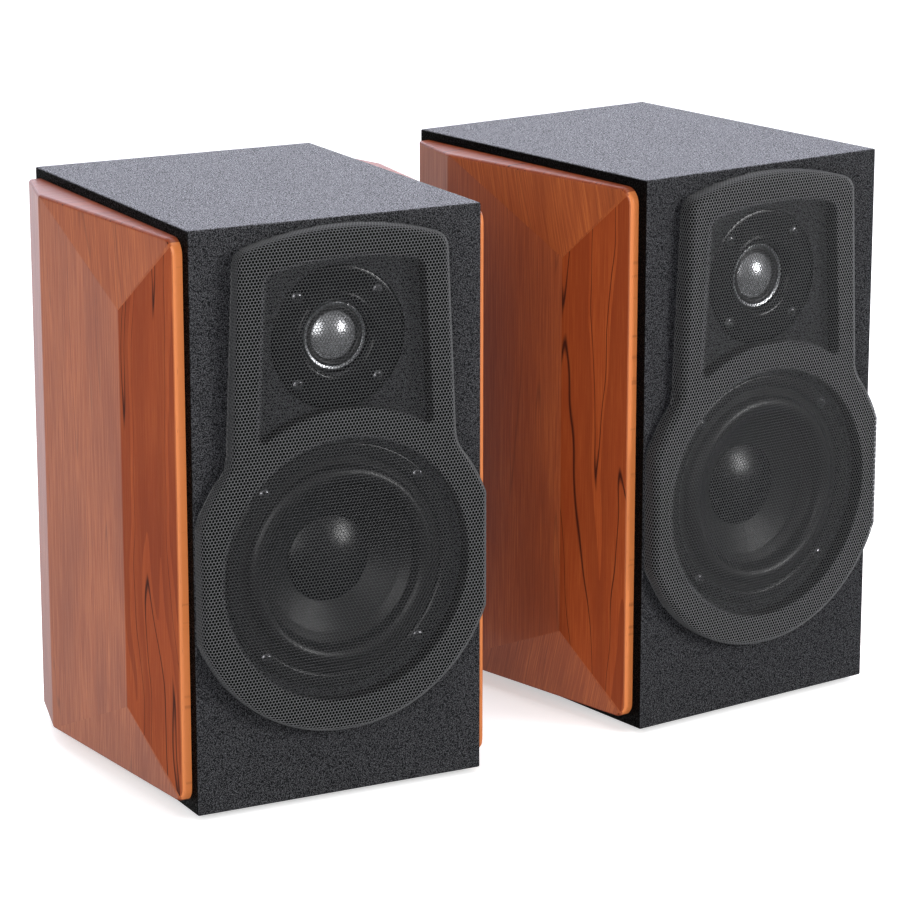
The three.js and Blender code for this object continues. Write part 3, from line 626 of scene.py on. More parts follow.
VINYL = vinyl()
VENEER = veneer()
REAR_BOARD = plastic("rear_board", "rear_board", (0.013, 0.0135, 0.015), 0.62, 0.05, specular=0.35)
RING_PLASTIC = plastic("black_plastic", "ring_plastic", (0.002, 0.002, 0.002), 0.6, 0.01, specular=0.08)
DARK_PLASTIC = plastic("black_plastic", "dark_plastic", (0.016, 0.0165, 0.018), 0.42)
GLOSS_BLACK = plastic("gloss_black", "gloss_black", (0.006, 0.0062, 0.007), 0.20, 0.006)
MESH = mesh_cloth()
CHROME = turned_metal("bright_trim", "bright_trim", (0.50, 0.51, 0.53), 0.30)
DOME = silver_dome()
FERRITE = speckled("ferrite", "ferrite", (0.045, 0.045, 0.048), (0.10, 0.10, 0.105), 0.6, 0.8)
PAINTED_STEEL = plastic("painted_steel", "painted_steel", (0.008, 0.0083, 0.009), 0.27, 0.02, specular=0.5)
ZINC = speckled("zinc_steel", "zinc_steel", (0.52, 0.52, 0.50), (0.68, 0.68, 0.65), 0.3, 0.3, 1.0)
RUBBER = plastic("rubber", "rubber", (0.006, 0.006, 0.0065), 0.36, 0.015, specular=0.5)
BLACK_SCREW = turned_metal("painted_steel", "black_screw", (0.20, 0.20, 0.21), 0.26)
CONE = paper("cone_paper", "cone_paper", (0.006, 0.0063, 0.007), 0.36)
CAP = paper("dust_cap", "dust_cap", (0.008, 0.0083, 0.009), 0.24)
COPPER = speckled("copper", "copper", (0.55, 0.22, 0.09), (0.72, 0.33, 0.15), 0.3, 1.2, 1.0)
SPIDER = cloth("spider_cloth", "spider_cloth", (0.42, 0.25, 0.08))
BOARD = speckled("circuit_board", "circuit_board", (0.015, 0.085, 0.035), (0.03, 0.14, 0.06), 0.45, 0.25)
MARKS = plastic("bright_trim", "dial_marks", (0.62, 0.62, 0.62), 0.5)
RED = plastic("gloss_black", "red_plastic", (0.42, 0.012, 0.010), 0.3)
WHITE = plastic("gloss_black", "white_plastic", (0.68, 0.68, 0.66), 0.32)


# ---------- adding pieces ----------
def piece(speaker, name, shape, material, body="cabinet", stands_for=(), crease=32, closed=True):
    """Adds a shape, or a mesh in metres, as a piece that rides on a body and stands for CAD nodes."""
    mesh = shape if isinstance(shape, bpy.types.Mesh) else to_mesh(name, shape, MM, closed)
    mesh.shade_smooth()
    mesh.set_sharp_from_angle(angle=math.radians(crease))
    mesh.materials.clear()
    mesh.materials.append(material)
    thing = add_object(f"{speaker.side}_{name}", mesh)
    thing.matrix_world = speaker.matrix
    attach(thing, f"{speaker.side}_{body}")
    if stands_for:
        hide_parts(*[f"{speaker.side}_{node}" for node in stands_for])
    return thing


def even_piece(*arguments, **settings):
    """Adds a piece whose flat faces stay flat where they meet rounded edges."""
    thing = piece(*arguments, **settings)
    thing.modifiers.new("even_shading", "WEIGHTED_NORMAL").keep_sharp = True


def bend_between(thing, speaker, outer):
    """Takes a ring-shaped piece off its moving body and fixes it in the speaker's frame, with its place
    written into its mesh.
    """
    thing.parent = None
    thing.matrix_world = speaker.matrix
    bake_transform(thing)


def turned(speaker, node, material, body="cabinet", fillet=0.4, name=None, steps=ROUND):
    """A fine version of a CAD node that was turned about a front-to-back axis."""
    centre = speaker.axis(node)
    shape = spun(turned_profile(speaker, node), fillet, centre.x, centre.z, steps)
    return piece(speaker, name or f"{node}_fine", shape, material, body, (node,))


def soften_node(speaker, node, material, width=0.4):
    """Gives a boxy CAD node a material and small rounded edges."""
    thing = frame["nodes"][f"{speaker.side}_{node}"]
    thing.data.materials.clear()
    thing.data.materials.append(material)
    joined = thing.modifiers.new("join_corners", "WELD")
    joined.merge_threshold = 0.01 * MM
    flat = thing.modifiers.new("flat_faces", "DECIMATE")
    flat.decimate_type = "DISSOLVE"
    flat.angle_limit = math.radians(1)
    edges = thing.modifiers.new("soft_edges", "BEVEL")
    edges.width = width * MM
    edges.segments = 2
    edges.limit_method = "ANGLE"
    edges.angle_limit = math.radians(35)
    edges.harden_normals = True


# ---------- cabinet ----------
def round_holes(loops):
    """The (x, z, radius) of the round ones among some outlines."""
    found = []
    for loop in loops:
        middle = loop.mean(0)
        radii = np.linalg.norm(loop - middle, axis=1)
        if np.ptp(radii) < 0.02 * radii.mean():
            found.append((*middle, radii.max()))
    return found


def cabinet_wrap(speaker):
    """Shell and baffle as one vinyl-wrapped box with rounded edges, open at the back."""
    width, height, depth, wall = speaker.half_width, speaker.height, speaker.depth, speaker.wall
    past = 1
    box = block((-width, width), (0, depth), (0, height), edge=0.9)
    hollow = block((wall - width, width - wall), (wall, depth + past), (wall, height - wall), edge=0)
    front, rebate_depth, peg_depth, back = speaker.levels("front_baffle")
    _, rebate, *peg_holes = round_holes(flat_loops(speaker, "front_baffle", front)[1:])
    through = round_holes(flat_loops(speaker, "front_baffle", back)[1:])
    tools = [rod(*hole, -past, wall + past, 0, ROUND) for hole in through]
    tools.append(rod(*rebate, -past, rebate_depth, 0, ROUND))
    tools += [rod(*hole, -past, peg_depth, 0) for hole in peg_holes]
    shape = carve(box, hollow, *tools)
    even_piece(speaker, "cabinet_wrap", shape, VINYL, stands_for=("cabinet_shell", "front_baffle"))


def cheek(speaker, node, seed):
    """A faceted wooden cheek: rounded rim, crisp ridges, and a separate sheet of veneer on each facet."""
    rim, ridge = 1.9, 0.7
    points = speaker.points(node)
    outward = np.sign(points[:, 0].mean())
    build = bmesh.new()
    vertices = [build.verts.new(p) for p in points]
    for polygon in speaker.mesh(node).polygons:
        build.faces.new([vertices[v] for v in polygon.vertices])
    bmesh.ops.remove_doubles(build, verts=build.verts, dist=SAME)
    bmesh.ops.dissolve_limit(build, angle_limit=math.radians(1), verts=build.verts, edges=build.edges)
    build.normal_update()
    facet = build.faces.layers.int.new("facet")
    skin = [f for f in build.faces if f.normal.x * outward > 0.5]
    for number, face in enumerate(sorted(skin, key=lambda f: tuple(f.calc_center_median())[1:]), 1):
        face[facet] = number
    weight = build.edges.layers.float.new("bevel_weight_edge")
    for edge in build.edges:
        outer = sum(f in skin for f in edge.link_faces)
        edge[weight] = (0, 1, ridge / rim)[outer]
    mesh = bpy.data.meshes.new(node)
    build.to_mesh(mesh)
    tops = {f[facet]: np.sign(f.normal.z) * (abs(f.normal.z) > 0.15) for f in skin}
    front = min(skin, key=lambda f: f.normal.y)[facet]
    build.free()
    rough = add_object("cheek", mesh)
    bevel = rough.modifiers.new("edges", "BEVEL")
    bevel.limit_method = "WEIGHT"
    bevel.width = rim
    bevel.segments = 5
    shaped = settled(rough)
    bpy.data.objects.remove(rough)
    lay_veneer(shaped, tops, front, seed)
    shaped.transform(Matrix.Scale(MM, 4))
    name = node.replace("cheek", "veneered_cheek")
    even_piece(speaker, name, shaped, VENEER, stands_for=(node,), crease=60)


def lay_veneer(mesh, tops, front, seed):
    """Writes where each corner of each face lies on its facet's sheet of veneer, and its figure.

    The front facet and the rims at the top and bottom have a strong figure. It fades to 0 round the front
    rim, on faces that look to the front, which the veneer paints pale orange as a painted highlight.
    """
    end_facet_turn = math.radians(24)
    sheet_step = Vector((61, 173))
    facets = mesh.attributes["facet"].data
    grain = mesh.attributes.new("grain", "FLOAT_VECTOR", "CORNER").data
    for polygon in mesh.polygons:
        number = facets[polygon.index].value
        turn = Matrix.Rotation(tops.get(number, 0) * end_facet_turn, 2)
        end_rim = abs(polygon.normal.z) > 0.4
        figure_and_highlight = 1.0 if number == front or end_rim else 0.3
        # Faces that look to the front fade to 0: the painted highlight of the front rim.
        figure_and_highlight *= np.clip(1 - (-polygon.normal.y - 0.4) / 0.3, 0, 1)
        for corner in polygon.loop_indices:
            _, y, z = mesh.vertices[mesh.loops[corner].vertex_index].co
            across, along = turn @ Vector((y, z)) + sheet_step * (number + 7 * seed)
            grain[corner].vector = (across, along, figure_and_highlight)


def foot(speaker, node):
    low, high = speaker.span(node)
    middle, radius = (low + high) / 2, (high.x - low.x) / 2
    thickness, draft = high.z - low.z, 1
    shape = spun([(0, 0), (radius, 0), (radius - draft, thickness), (0, thickness)], 0.7, steps=48)
    shape = placed(shape, middle.x, middle.y, high.z, Matrix.Rotation(-math.pi / 2, 4, "X"))
    piece(speaker, f"{node}_pad", shape, RUBBER, stands_for=(node,))


# ---------- grille ----------
FOLD = 3.8  # radius of the grille's outer edge
MESH_PITCH = 1.8  # between holes along a row
MESH_HOLE = 0.84  # corner radius of a hole
MESH_DIP = 0.42  # from the crest of a strand to the rim of a hole


def grille_ring(speaker):
    """The moulded frame behind the mesh, with its four pegs."""
    front, *_, peg_end = speaker.levels("grille_frame")
    outline, *openings = flat_loops(speaker, "grille_frame")
    under_mesh = 0.9
    ring = slab([inset(outline, under_mesh), *openings], front, -GAP, FOLD - under_mesh, 2.2)
    pegs = round_holes(flat_loops(speaker, "grille_frame", peg_end))
    shape = combine(ring, *[rod(*peg, -1, peg_end, 0.8) for peg in pegs])
    even_piece(speaker, "grille_ring", shape, RING_PLASTIC, "grille", ("grille_frame",))


def grille_mesh(speaker):
    """A sheet of hexagonal cells that lies over the ring, folds round its edge and runs down its side."""
    front, *_ = speaker.levels("grille_cloth")
    outline, *_ = flat_loops(speaker, "grille_cloth")
    _, *openings = flat_loops(speaker, "grille_frame")
    crease = inset(outline, FOLD)
    side_end = -front - GAP
    bend = FOLD * math.pi / 2
    reach = bend + side_end - FOLD
    row = MESH_PITCH * math.sqrt(3) / 2
    steps = MESH_PITCH, row
    lowest = np.floor((crease.min(0) - reach) / steps)
    highest = np.ceil((crease.max(0) + reach) / steps)
    columns, rows = (np.arange(a, b + 1) for a, b in zip(lowest, highest))
    centres = np.array([((x + y % 2 / 2) * MESH_PITCH, y * row) for y in rows for x in columns])
    _, gap = nearest(centres, crease)
    centres = centres[inside(centres, crease) | (gap < reach - MESH_PITCH / 4)]
    angles = np.radians(np.arange(30, 390, 60))
    spokes = np.stack([np.cos(angles), np.sin(angles)], 1)
    crests = (centres[:, None] + spokes * MESH_PITCH / math.sqrt(3)).reshape(-1, 2)
    rims = (centres[:, None] + spokes * MESH_HOLE).reshape(-1, 2)
    _, first, number = np.unique(np.round(crests, 2), axis=0, return_index=True, return_inverse=True)
    flat = np.vstack([crests[first], rims])
    crest, rim = number.reshape(-1, 6), len(first) + np.arange(len(rims)).reshape(-1, 6)
    faces = np.stack([crest, np.roll(crest, -1, 1), np.roll(rim, -1, 1), rim], 2).reshape(-1, 4)

    within = inside(flat, crease)
    foot_point, away = nearest(flat, crease)
    away = np.where(within, 0, np.minimum(away, reach))
    out = np.where(within[:, None], 0, flat - foot_point)
    out /= np.maximum(np.linalg.norm(out, axis=1), 1e-9)[:, None]
    angle = np.minimum(away / FOLD, math.pi / 2)
    straight = np.maximum(away - bend, 0)
    dip = np.where(np.arange(len(flat)) < len(first), 0, MESH_DIP)
    base = np.where(within[:, None], flat, foot_point)
    spread = FOLD * np.sin(angle) - dip * np.sin(angle)
    depth = front + FOLD * (1 - np.cos(angle)) + straight + dip * np.cos(angle)
    across = base + out * spread[:, None]
    points = np.stack([across[:, 0], depth, across[:, 1]], 1)

    shape = points, faces.tolist()
    thing = piece(speaker, "grille_mesh", shape, MESH, "grille", ("grille_cloth",), 180, closed=False)
    # Painted light and shade of the strands: 1 over the frame, down to 0 over the openings.
    painted_light_share = np.ones(len(flat))
    for opening in openings:
        _, edge_gap = nearest(flat, opening)
        depth_in = np.where(inside(flat, opening), edge_gap, 0)
        painted_light_share = np.minimum(painted_light_share, np.clip(1 - depth_in / 1.2, 0, 1))
    # Painted shade round the fold and down the side.
    painted_light_share *= 1 - 0.85 * np.clip(away / bend, 0, 1) ** 2
    painted_strand_light = thing.data.attributes.new("painted_strand_light", "FLOAT", "POINT")
    painted_strand_light.data.foreach_set("value", painted_light_share.astype(np.float32))


# ---------- drivers ----------
def screw_head(radius=3.0, rise=1.4):
    """A pan head with a cross recess, resting on y = 0 and facing -y."""
    profile = [(0, -rise), (radius * 0.6, -rise), (radius, -rise * 0.35), (radius, 0), (0, 0)]
    head = spun(profile, 0.6, steps=32)
    arm, width, cut = radius * 0.62, radius * 0.13, rise * 0.7
    long, short, depth = (-arm, arm), (-width, width), (-rise - 1, -rise + cut)
    return carve(head, block(long, depth, short, 0), block(short, depth, long, 0))


SCREW = screw_head()
BACK_SCREW = placed(screw_head(3.2, 1.2), turn=Matrix.Rotation(math.pi, 4, "Z"))


def ring_of_screws(speaker, name, centre_z, radius, y):
    """Four screws at 45 degrees round a driver."""
    heads = []
    for quarter in range(4):
        angle = math.radians(45 + 90 * quarter)
        turn = Matrix.Rotation(math.radians(20 + 37 * quarter), 4, "Y")
        place = radius * math.cos(angle), y, centre_z + radius * math.sin(angle)
        heads.append(placed(SCREW, *place, turn))
    piece(speaker, name, combine(*heads), BLACK_SCREW)


def tweeter(speaker):
    """A faceplate with a raised lip, a bright ring in its throat, the dome, and the motor behind."""
    z = speaker.tweeter_z
    plate = speaker.span("tweeter_faceplate")[1]
    trim_low, trim = speaker.span("tweeter_ring")
    throat = trim.x + 0.8
    lip = throat + 2.6
    thickness, screw_circle = 4.0, 31.5
    profile = [
        (throat, plate.y), (throat + 0.5, 3.2), (lip - 1.2, 0.9), (lip, -0.05), (lip + 1.6, -0.05),
        (lip + 2.0, 0.35), (plate.x - 1.8, 0.15), (plate.x, 0.5), (plate.x, thickness),
        (lip + 4, thickness), (lip + 4, plate.y),
    ]
    shape = spun(profile, 0.5, z=z, steps=FINE_ROUND)
    piece(speaker, "tweeter_plate", shape, GLOSS_BLACK, stands_for=("tweeter_faceplate",), crease=50)
    ring_of_screws(speaker, "tweeter_screws", z, screw_circle, 0.5)
    inner = trim.x - 1.6
    profile = [(trim.x, trim.y), (trim.x, trim_low.y), (inner, trim_low.y + 0.5), (inner, trim.y)]
    shape = spun(profile, 0.35, z=z, steps=FINE_ROUND)
    piece(speaker, "tweeter_trim", shape, CHROME, stands_for=("tweeter_ring",), crease=60)
    tweeter_diaphragm(speaker)
    turned(speaker, "tweeter_motor", FERRITE, fillet=0.8)


def tweeter_diaphragm(speaker):
    """A silver dome, and the dark half roll that holds it."""
    low, high = speaker.span("tweeter_dome")
    dome_radius, rim_y, roll_radius, skin = 12.5, 6.3, 1.35, 0.3
    rise = rim_y - low.y
    ball = (dome_radius**2 + rise**2) / (2 * rise)
    angles = np.linspace(0, math.asin(dome_radius / ball), 20)
    dome = np.stack([ball * np.sin(angles), low.y + ball * (1 - np.cos(angles))], 1)
    coil = np.array([(dome_radius, high.y), (dome_radius - skin, high.y)])
    profile = np.vstack([dome, coil, dome[::-1] * (0.975, 1) + (0, skin)])
    shape = spun(profile, z=speaker.tweeter_z, steps=FINE_ROUND)
    piece(speaker, "dome", shape, DOME, "tweeter", ("tweeter_dome",), 50)
    crest = arc((dome_radius + 0.6 + roll_radius, rim_y), roll_radius, 180, 360)
    roll = np.vstack([(dome_radius, rim_y), crest, (high.x, rim_y)])
    profile = np.vstack([roll, roll[::-1] + (0, skin)])
    shape = spun(profile, z=speaker.tweeter_z, steps=FINE_ROUND)
    piece(speaker, "dome_roll", shape, RUBBER, "tweeter", crease=50)


def woofer_frame(speaker):
    """Pressed frame with a stepped rim, a seat for the surround, and three windows between its arms."""
    z = speaker.woofer_z
    low, high = speaker.span("woofer_basket")
    rim, proud = high.x, low.y
    seat = speaker.span("woofer_surround")[1].x
    bore, floor_radius, floor_front, screw_circle = 15.2, 38, 44.8, 60.5
    profile = [
        (rim, -GAP), (rim, proud + 0.7), (rim - 0.8, proud), (rim - 6.2, proud), (rim - 6.8, proud + 0.5),
        (seat + 0.5, proud + 0.7), (seat + 0.4, 0.8), (50.5, 0.8), (50.5, 2.2), (54, 2.2),
        (floor_radius - 2.5, 39.5), (floor_radius - 2.5, floor_front), (bore, floor_front), (bore, high.y),
        (floor_radius, high.y), (floor_radius, 40), (57.2, 2.2), (57.2, -GAP),
    ]
    window = block((-rim, rim), (9, 34), (-13, 13), 2.5)
    turns = [Matrix.Rotation(math.radians(angle), 4, "Y") for angle in (30, 90, 150)]
    windows = [placed(window, turn=turn) for turn in turns]
    shape = placed(carve(spun(profile, 0.5, steps=FINE_ROUND), *windows), z=z)
    piece(speaker, "woofer_frame", shape, PAINTED_STEEL, stands_for=("woofer_basket",), crease=40)
    ring_of_screws(speaker, "woofer_screws", z, screw_circle, proud)


def woofer(speaker):
    """The frame, the moving cone between its two bending rings, and the motor."""
    woofer_frame(speaker)
    roll = speaker.span("woofer_surround")
    cone_low, cone_high = speaker.span("woofer_cone")
    thing = turned(speaker, "woofer_surround", RUBBER, "woofer", 0.3, "woofer_roll", FINE_ROUND)
    bend_between(thing, speaker, roll[1].x - 3)
    thing = turned(speaker, "woofer_spider", SPIDER, "woofer", 0.3, "woofer_spider_cloth")
    coil = speaker.span("woofer_voice_coil")[1].x
    bend_between(thing, speaker, speaker.span("woofer_spider")[1].x - 1)
    apex = turned_profile(speaker, "woofer_cone")[:, 0].min()
    profile = curved_cone(cone_high.x, cone_low.y, apex, cone_high.y)
    shape = spun(profile, z=speaker.woofer_z, steps=FINE_ROUND)
    piece(speaker, "woofer_paper_cone", shape, CONE, "woofer", ("woofer_cone",), 50)
    turned(speaker, "woofer_dust_cap", CAP, "woofer", 0.3, "woofer_cap", FINE_ROUND)
    turned(speaker, "woofer_voice_coil", COPPER, "woofer")
    ring_magnet(speaker)
    turned(speaker, "woofer_yoke", ZINC, fillet=0.8)


def ring_magnet(speaker):
    low, high = speaker.span("woofer_magnet")
    points = speaker.points("woofer_magnet") - speaker.axis("woofer_magnet")
    radii = np.hypot(points[:, 0], points[:, 2])
    hole, rim = radii.min(), radii.max()
    profile = [(hole, low.y), (rim, low.y), (rim, high.y), (hole, high.y)]
    shape = spun(profile, 1.2, z=speaker.woofer_z)
    piece(speaker, "woofer_ferrite", shape, FERRITE, stands_for=("woofer_magnet",), crease=50)


def curved_cone(rim_radius, rim_y, apex_radius, apex_y, thickness=0.8, sag=0.25):
    """The profile of a cone whose slope eases out towards its rim."""
    share = np.linspace(0, 1, 17)
    bulge = sag * np.sin(share * math.pi)
    radius = rim_radius + (apex_radius - rim_radius) * share
    y = rim_y + 0.3 + (apex_y - rim_y - thickness - 0.3) * share
    front = np.stack([radius, y - bulge], 1)
    return np.vstack([front, front[::-1] + (0, thickness)])


# ---------- back ----------
def flat_panel(speaker, node, name, material, front_edge, back_edge):
    """A panel of the back with the openings of its CAD node. Gives its lowest and highest corners."""
    low, high = speaker.span(node)
    shape = slab(flat_loops(speaker, node), low.y, high.y, front_edge, back_edge=back_edge)
    even_piece(speaker, name, shape, material, stands_for=(node,))
    return low, high


def back_screws(speaker, name, places, y):
    """Screws that face the back, at (x, z, turn) places."""
    turns = [Matrix.Rotation(turn, 4, "Y") for _, _, turn in places]
    heads = [placed(BACK_SCREW, x, y, z, turn) for (x, z, _), turn in zip(places, turns)]
    piece(speaker, name, combine(*heads), ZINC)


def rear_panel(speaker):
    low, high = flat_panel(speaker, "rear_panel", "rear_board", REAR_BOARD, 0.2, 0.8)
    side_border, end_border = 6, 8
    xs = low.x + side_border, high.x - side_border
    zs = np.linspace(low.z + end_border, high.z - end_border, 4)
    places = [(x, z, 0.7 * i + x) for x in xs for i, z in enumerate(zs)]
    back_screws(speaker, "rear_screws", places, high.y)


def reflex_port(speaker):
    middle = speaker.axis("reflex_port")
    shape = spun(turned_profile(speaker, "reflex_port"), 2.0, middle.x, middle.z, FINE_ROUND)
    piece(speaker, "port_tube", shape, DARK_PLASTIC, stands_for=("reflex_port",), crease=50)


def amplifier_plate(speaker):
    low, high = flat_panel(speaker, "amplifier_plate", "amplifier_panel", PAINTED_STEEL, 0.1, 0.4)
    border = 5
    xs = np.linspace(low.x + border, high.x - border, 3)
    zs = np.linspace(low.z + border, high.z - border, 4)
    places = [(x, z, x + z) for x in xs for z in zs if x != xs[1] or z in (zs[0], zs[-1])]
    back_screws(speaker, "amplifier_screws", places, high.y)


def dial_marks(speaker, knobs):
    """A ring of raised ticks round each knob, over the 300 degrees that it turns."""
    ticks = []
    face = speaker.span("amplifier_plate")[1].y
    for node in knobs:
        middle = speaker.centre(node)
        radius = speaker.span(node)[1].x - middle.x
        for step in range(11):
            start, end = radius + 1.8, radius + (3.4 if step % 5 else 4.4)
            tick = block((-0.35, 0.35), (face, face + 0.15), (start, end), 0)
            turn = Matrix.Rotation(math.radians(150 - 30 * step), 4, "Y")
            ticks.append(placed(tick, middle.x, 0, middle.z, turn))
    piece(speaker, "dial_marks", combine(*ticks), MARKS)


def knob(speaker, node):
    """A fluted knob with a pointer line. Its body has the node's name."""
    low, high = speaker.span(node)
    middle, radius = (low + high) / 2, (high.x - low.x) / 2
    face = speaker.span("amplifier_plate")[1].y + GAP
    shaft, flutes = 3, 28
    profile = [
        (0, low.y), (shaft, low.y), (shaft, face), (radius, face), (radius, face + 1.5),
        (radius - 0.5, face + 2), (radius - 0.9, high.y), (radius - 2.2, high.y),
        (radius - 3, high.y - 0.4), (0, high.y - 0.4),
    ]
    shape = spun(profile, 0.5, middle.x, middle.z, flutes * 8, flutes=flutes, flute_depth=0.55)
    piece(speaker, f"{node}_cap", shape, DARK_PLASTIC, node, (node,), 50)
    line = block((-0.5, 0.5), (high.y - 0.6, high.y + 0.12), (radius * 0.35, radius - 0.6), 0.1, 1)
    piece(speaker, f"{node}_pointer", placed(line, x=middle.x, z=middle.z), MARKS, node)


def moulded_panel(speaker, node, name, face, rim, edge):
    """A flange between two depths, with a tub in front of it that reaches into the cabinet."""
    low, high = speaker.span(node)
    flange = block((low.x, high.x), (face, rim), (low.z, high.z), edge)
    tub = flat_loops(speaker, node)[0]
    box = block(*limits(tub, low.y, face + 0.5), 0.5)
    piece(speaker, name, combine(flange, box), DARK_PLASTIC, stands_for=(node,))


def limits(loop, front, back):
    """The limits in x, y and z of an outline that runs between two depths."""
    (left, bottom), (right, top) = loop.min(0), loop.max(0)
    return (left, right), (front, back), (bottom, top)


def terminal_post(x, z, face, length):
    """A binding post: a fluted cap on a metal stem. Gives the cap and the stem."""
    end = face + length
    collar = [(0, face), (5.5, face), (5.5, face + 2.5), (4.6, face + 3.2), (0, face + 3.2)]
    stem = [(0, face + 2), (2.4, face + 2), (2.4, face + 6), (0, face + 6)]
    cap = [
        (0, face + 5), (5.4, face + 5), (5.4, end - 1), (4.6, end), (1.8, end), (1.8, end - 3), (0, end - 3)
    ]
    flutes = 16
    cap = spun(cap, 0.5, x, z, flutes * 8, flutes=flutes, flute_depth=0.5)
    return combine(spun(collar, 0.5, x, z, 48), cap), spun(stem, 0.2, x, z, 48)


def binding_posts(speaker, places, rim, end):
    """A red and a black binding post, in that order."""
    face = rim - 0.3
    (red, red_stem), (black, black_stem) = [terminal_post(x, z, face, end - face) for x, z, _ in places]
    piece(speaker, "binding_post_red", red, RED, crease=50)
    piece(speaker, "binding_post_black", black, GLOSS_BLACK, crease=50)
    piece(speaker, "binding_post_stems", combine(red_stem, black_stem), ZINC)


def connection_panel(speaker):
    """Signal sockets in coloured collars, and a red binding post over a black one."""
    node = "connection_panel"
    face, rim, barrel_end, post_end = speaker.levels(node)[-4:]
    moulded_panel(speaker, node, "socket_panel", face, rim, 0.6)
    metal, red, white = [], [], []
    start, bore = rim - 0.5, 2.2
    for x, z, radius in round_holes(flat_loops(speaker, node, barrel_end)):
        wall = [(bore, start), (radius, start), (radius, barrel_end), (bore, barrel_end)]
        metal.append(spun(wall, 0.3, x, z, 48))
        outer, top = radius + 1.8, rim + 1.6
        collar = spun([(radius, start), (outer, start), (outer, top), (radius, top)], 0.3, x, z, 48)
        (red if z < speaker.centre(node).z else white).append(collar)
    piece(speaker, "socket_barrels", combine(*metal), ZINC)
    piece(speaker, "socket_collars_white", combine(*white), WHITE)
    piece(speaker, "socket_collars_red", combine(*red), RED)
    posts = round_holes(flat_loops(speaker, node, post_end))
    binding_posts(speaker, sorted(posts, key=lambda post: -post[1]), rim, post_end)


def mains_inlet(speaker):
    """A two-pin appliance inlet: a rim and a tub round a rounded well, with its pins."""
    node = "mains_inlet"
    back, floor_level, pin_end, face, rim = speaker.levels(node)
    low, high = speaker.span(node)
    tub = flat_loops(speaker, node)[0]
    outline, *pins = flat_loops(speaker, node, floor_level)
    well = block(*limits(outline, floor_level, rim + 5), 3.0, 5)
    flange = block((low.x, high.x), (face, rim), (low.z, high.z), 0.5)
    box = block(*limits(tub, back, face + 0.4), 0.4)
    shape = combine(carve(flange, well), carve(box, well))
    even_piece(speaker, "inlet_body", shape, DARK_PLASTIC, stands_for=(node,))
    bars = [rod(*pin, floor_level - 1, pin_end, 0.6, 24) for pin in round_holes(pins)]
    piece(speaker, "inlet_pins", combine(*bars), ZINC)


def terminal_plate(speaker):
    """A moulded plate with a red and a black binding post side by side."""
    node = "terminal_plate"
    face, rim, post_end = speaker.levels(node)[-3:]
    moulded_panel(speaker, node, "terminal_panel", face, rim, 0.8)
    binding_posts(speaker, sorted(round_holes(flat_loops(speaker, node, post_end))), rim, post_end)
    low, high = speaker.span(node)
    border = 4
    xs, zs = (low.x + border, high.x - border), (low.z + border, high.z - border)
    back_screws(speaker, "terminal_screws", [(x, z, 0) for x in xs for z in zs], rim)


# ---------- the pair ----------
def build(side):
    """What the two speakers have in common."""
    speaker = Speaker(side)
    cabinet_wrap(speaker)
    for seed, node in enumerate(("outer_cheek", "inner_cheek"), 1 if side == "left" else 4):
        cheek(speaker, node, seed)
    for end in ("front_a", "front_b", "back_a", "back_b"):
        foot(speaker, f"foot_{end}")
    grille_ring(speaker)
    grille_mesh(speaker)
    tweeter(speaker)
    woofer(speaker)
    rear_panel(speaker)
    reflex_port(speaker)
    soften_node(speaker, "crossover_board", BOARD, 0.3)
    return speaker


left = build("left")
amplifier_plate(left)
KNOBS = ("volume_knob", "treble_knob", "bass_knob")
for each in KNOBS:
    knob(left, each)
dial_marks(left, KNOBS)
connection_panel(left)
soften_node(left, "power_switch", DARK_PLASTIC, 0.5)
mains_inlet(left)
soften_node(left, "amplifier_board", BOARD, 0.3)
soften_node(left, "transformer", FERRITE, 0.6)
right = build("right")
terminal_plate(right)


# ---------- floor, light and camera ----------
def floor():
    far = 9
    mesh = bpy.data.meshes.new("floor")
    mesh.from_pydata([(-far, -far, 0), (far, -far, 0), (far, far, 0), (-far, far, 0)], [], [(0, 1, 2, 3)])
    thing = add_object("floor", mesh)
    look = Look("floor")
    white = (0.85, 0.85, 0.85)
    glow = {"emission_color": (1, 1, 1, 1), "emission_strength": 0.5}
    mesh.materials.append(look.finish(white, 0.9, specular_ior_level=0.0, **glow))
    thing.visible_glossy = False


def softbox(name, azimuth, elevation, distance, width, height, power, tint=(1, 1, 1)):
    """An area light aimed at the pair. Azimuth 0 is in front of it, and positive to its right."""
    light = bpy.data.lights.new(name, "AREA")
    light.shape = "RECTANGLE"
    light.size, light.size_y = width, height
    light.energy, light.color = power, tint
    thing = add_object(name, light)
    a, e = math.radians(azimuth), math.radians(elevation)
    away = Vector((math.sin(a) * math.cos(e), -math.cos(a) * math.cos(e), math.sin(e)))
    thing.location = MIDDLE + away * distance
    thing.rotation_euler = away.to_track_quat("Z", "Y").to_euler()


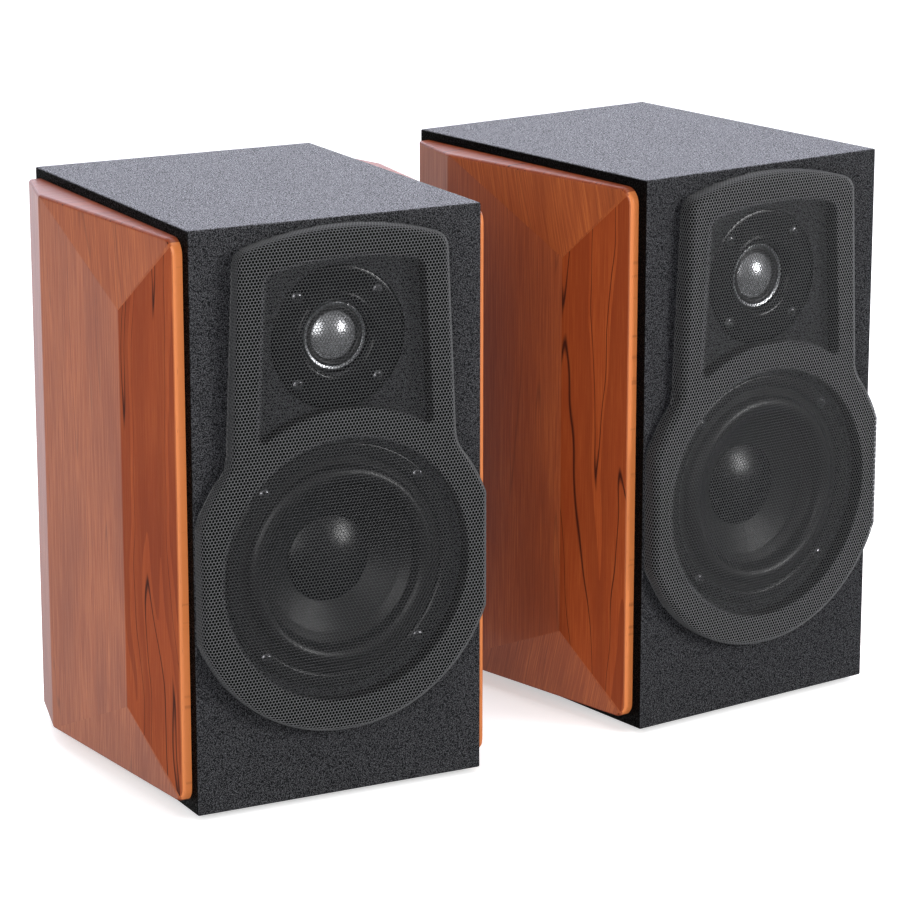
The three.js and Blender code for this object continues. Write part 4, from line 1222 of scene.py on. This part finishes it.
def surroundings():
    """White to the camera. Reflections see a dim studio with two bright patches behind the pair.

    The tops mirror the stronger one, high on the right. The left cheeks mirror the other, low on the left.
    """
    world = bpy.data.worlds.new("studio")
    bpy.context.scene.world = world
    world.use_nodes = True
    shader = Shader(world.node_tree)
    shader.tree.nodes.clear()
    ray = shader.node("TexCoord").outputs["Generated"]

    def facing(direction, low, high):
        """1 where a ray goes along a direction, falling to 0 between two cosines."""
        inputs = {0: ray, 1: Vector(direction).normalized()}
        cosine = shader.node("VectorMath", inputs, operation="DOT_PRODUCT").outputs["Value"]
        return shader.fade(cosine, low, high, interpolation_type="SMOOTHSTEP")

    def grey(value):
        return value, value, value * 1.01

    room = shader.mix(facing((0, 0, 1), -0.3, 0.9), grey(0.10), grey(0.45))
    room = shader.mix(facing((0.5, 0.78, 0.36), 0.62, 0.95), room, (3.8, 3.84, 4.45))
    room = shader.mix(facing((-0.3, 0.9, -0.28), 0.8, 0.97), room, grey(0.85))
    seen = shader.node("LightPath").outputs["Is Camera Ray"]
    background = shader.node("Background", {"Color": shader.mix(seen, room, grey(1.0))})
    shader.node("OutputWorld", {"Surface": background.outputs[0]})


def camera():
    """Looks down on the pair from the front left, with a long lens."""
    lens, azimuth, elevation, distance = 147.83, 32.224, 14.602, 2.0116
    aim = MIDDLE + Vector((-0.0034, -0.0003, -0.0077))
    a, e = math.radians(azimuth), math.radians(elevation)
    ahead = Vector((math.sin(a) * math.cos(e), math.cos(a) * math.cos(e), -math.sin(e)))
    lens_data = bpy.data.cameras.new("camera")
    lens_data.lens = lens
    thing = add_object("camera", lens_data)
    thing.location = aim - ahead * distance
    thing.rotation_mode = "QUATERNION"
    thing.rotation_quaternion = ahead.to_track_quat("-Z", "Y")
    bpy.context.scene.camera = thing


MIDDLE = (cad_box[0] + cad_box[1]) / 2
floor()
surroundings()
softbox("key", 36, 15, 2.2, 0.7, 0.7, 27)
softbox("side", -50, 20, 2.5, 1.5, 1.5, 34)
softbox("top", 10, 80, 1.9, 1.6, 1.2, 14)
camera()
bpy.context.scene.view_settings.view_transform = "Standard"
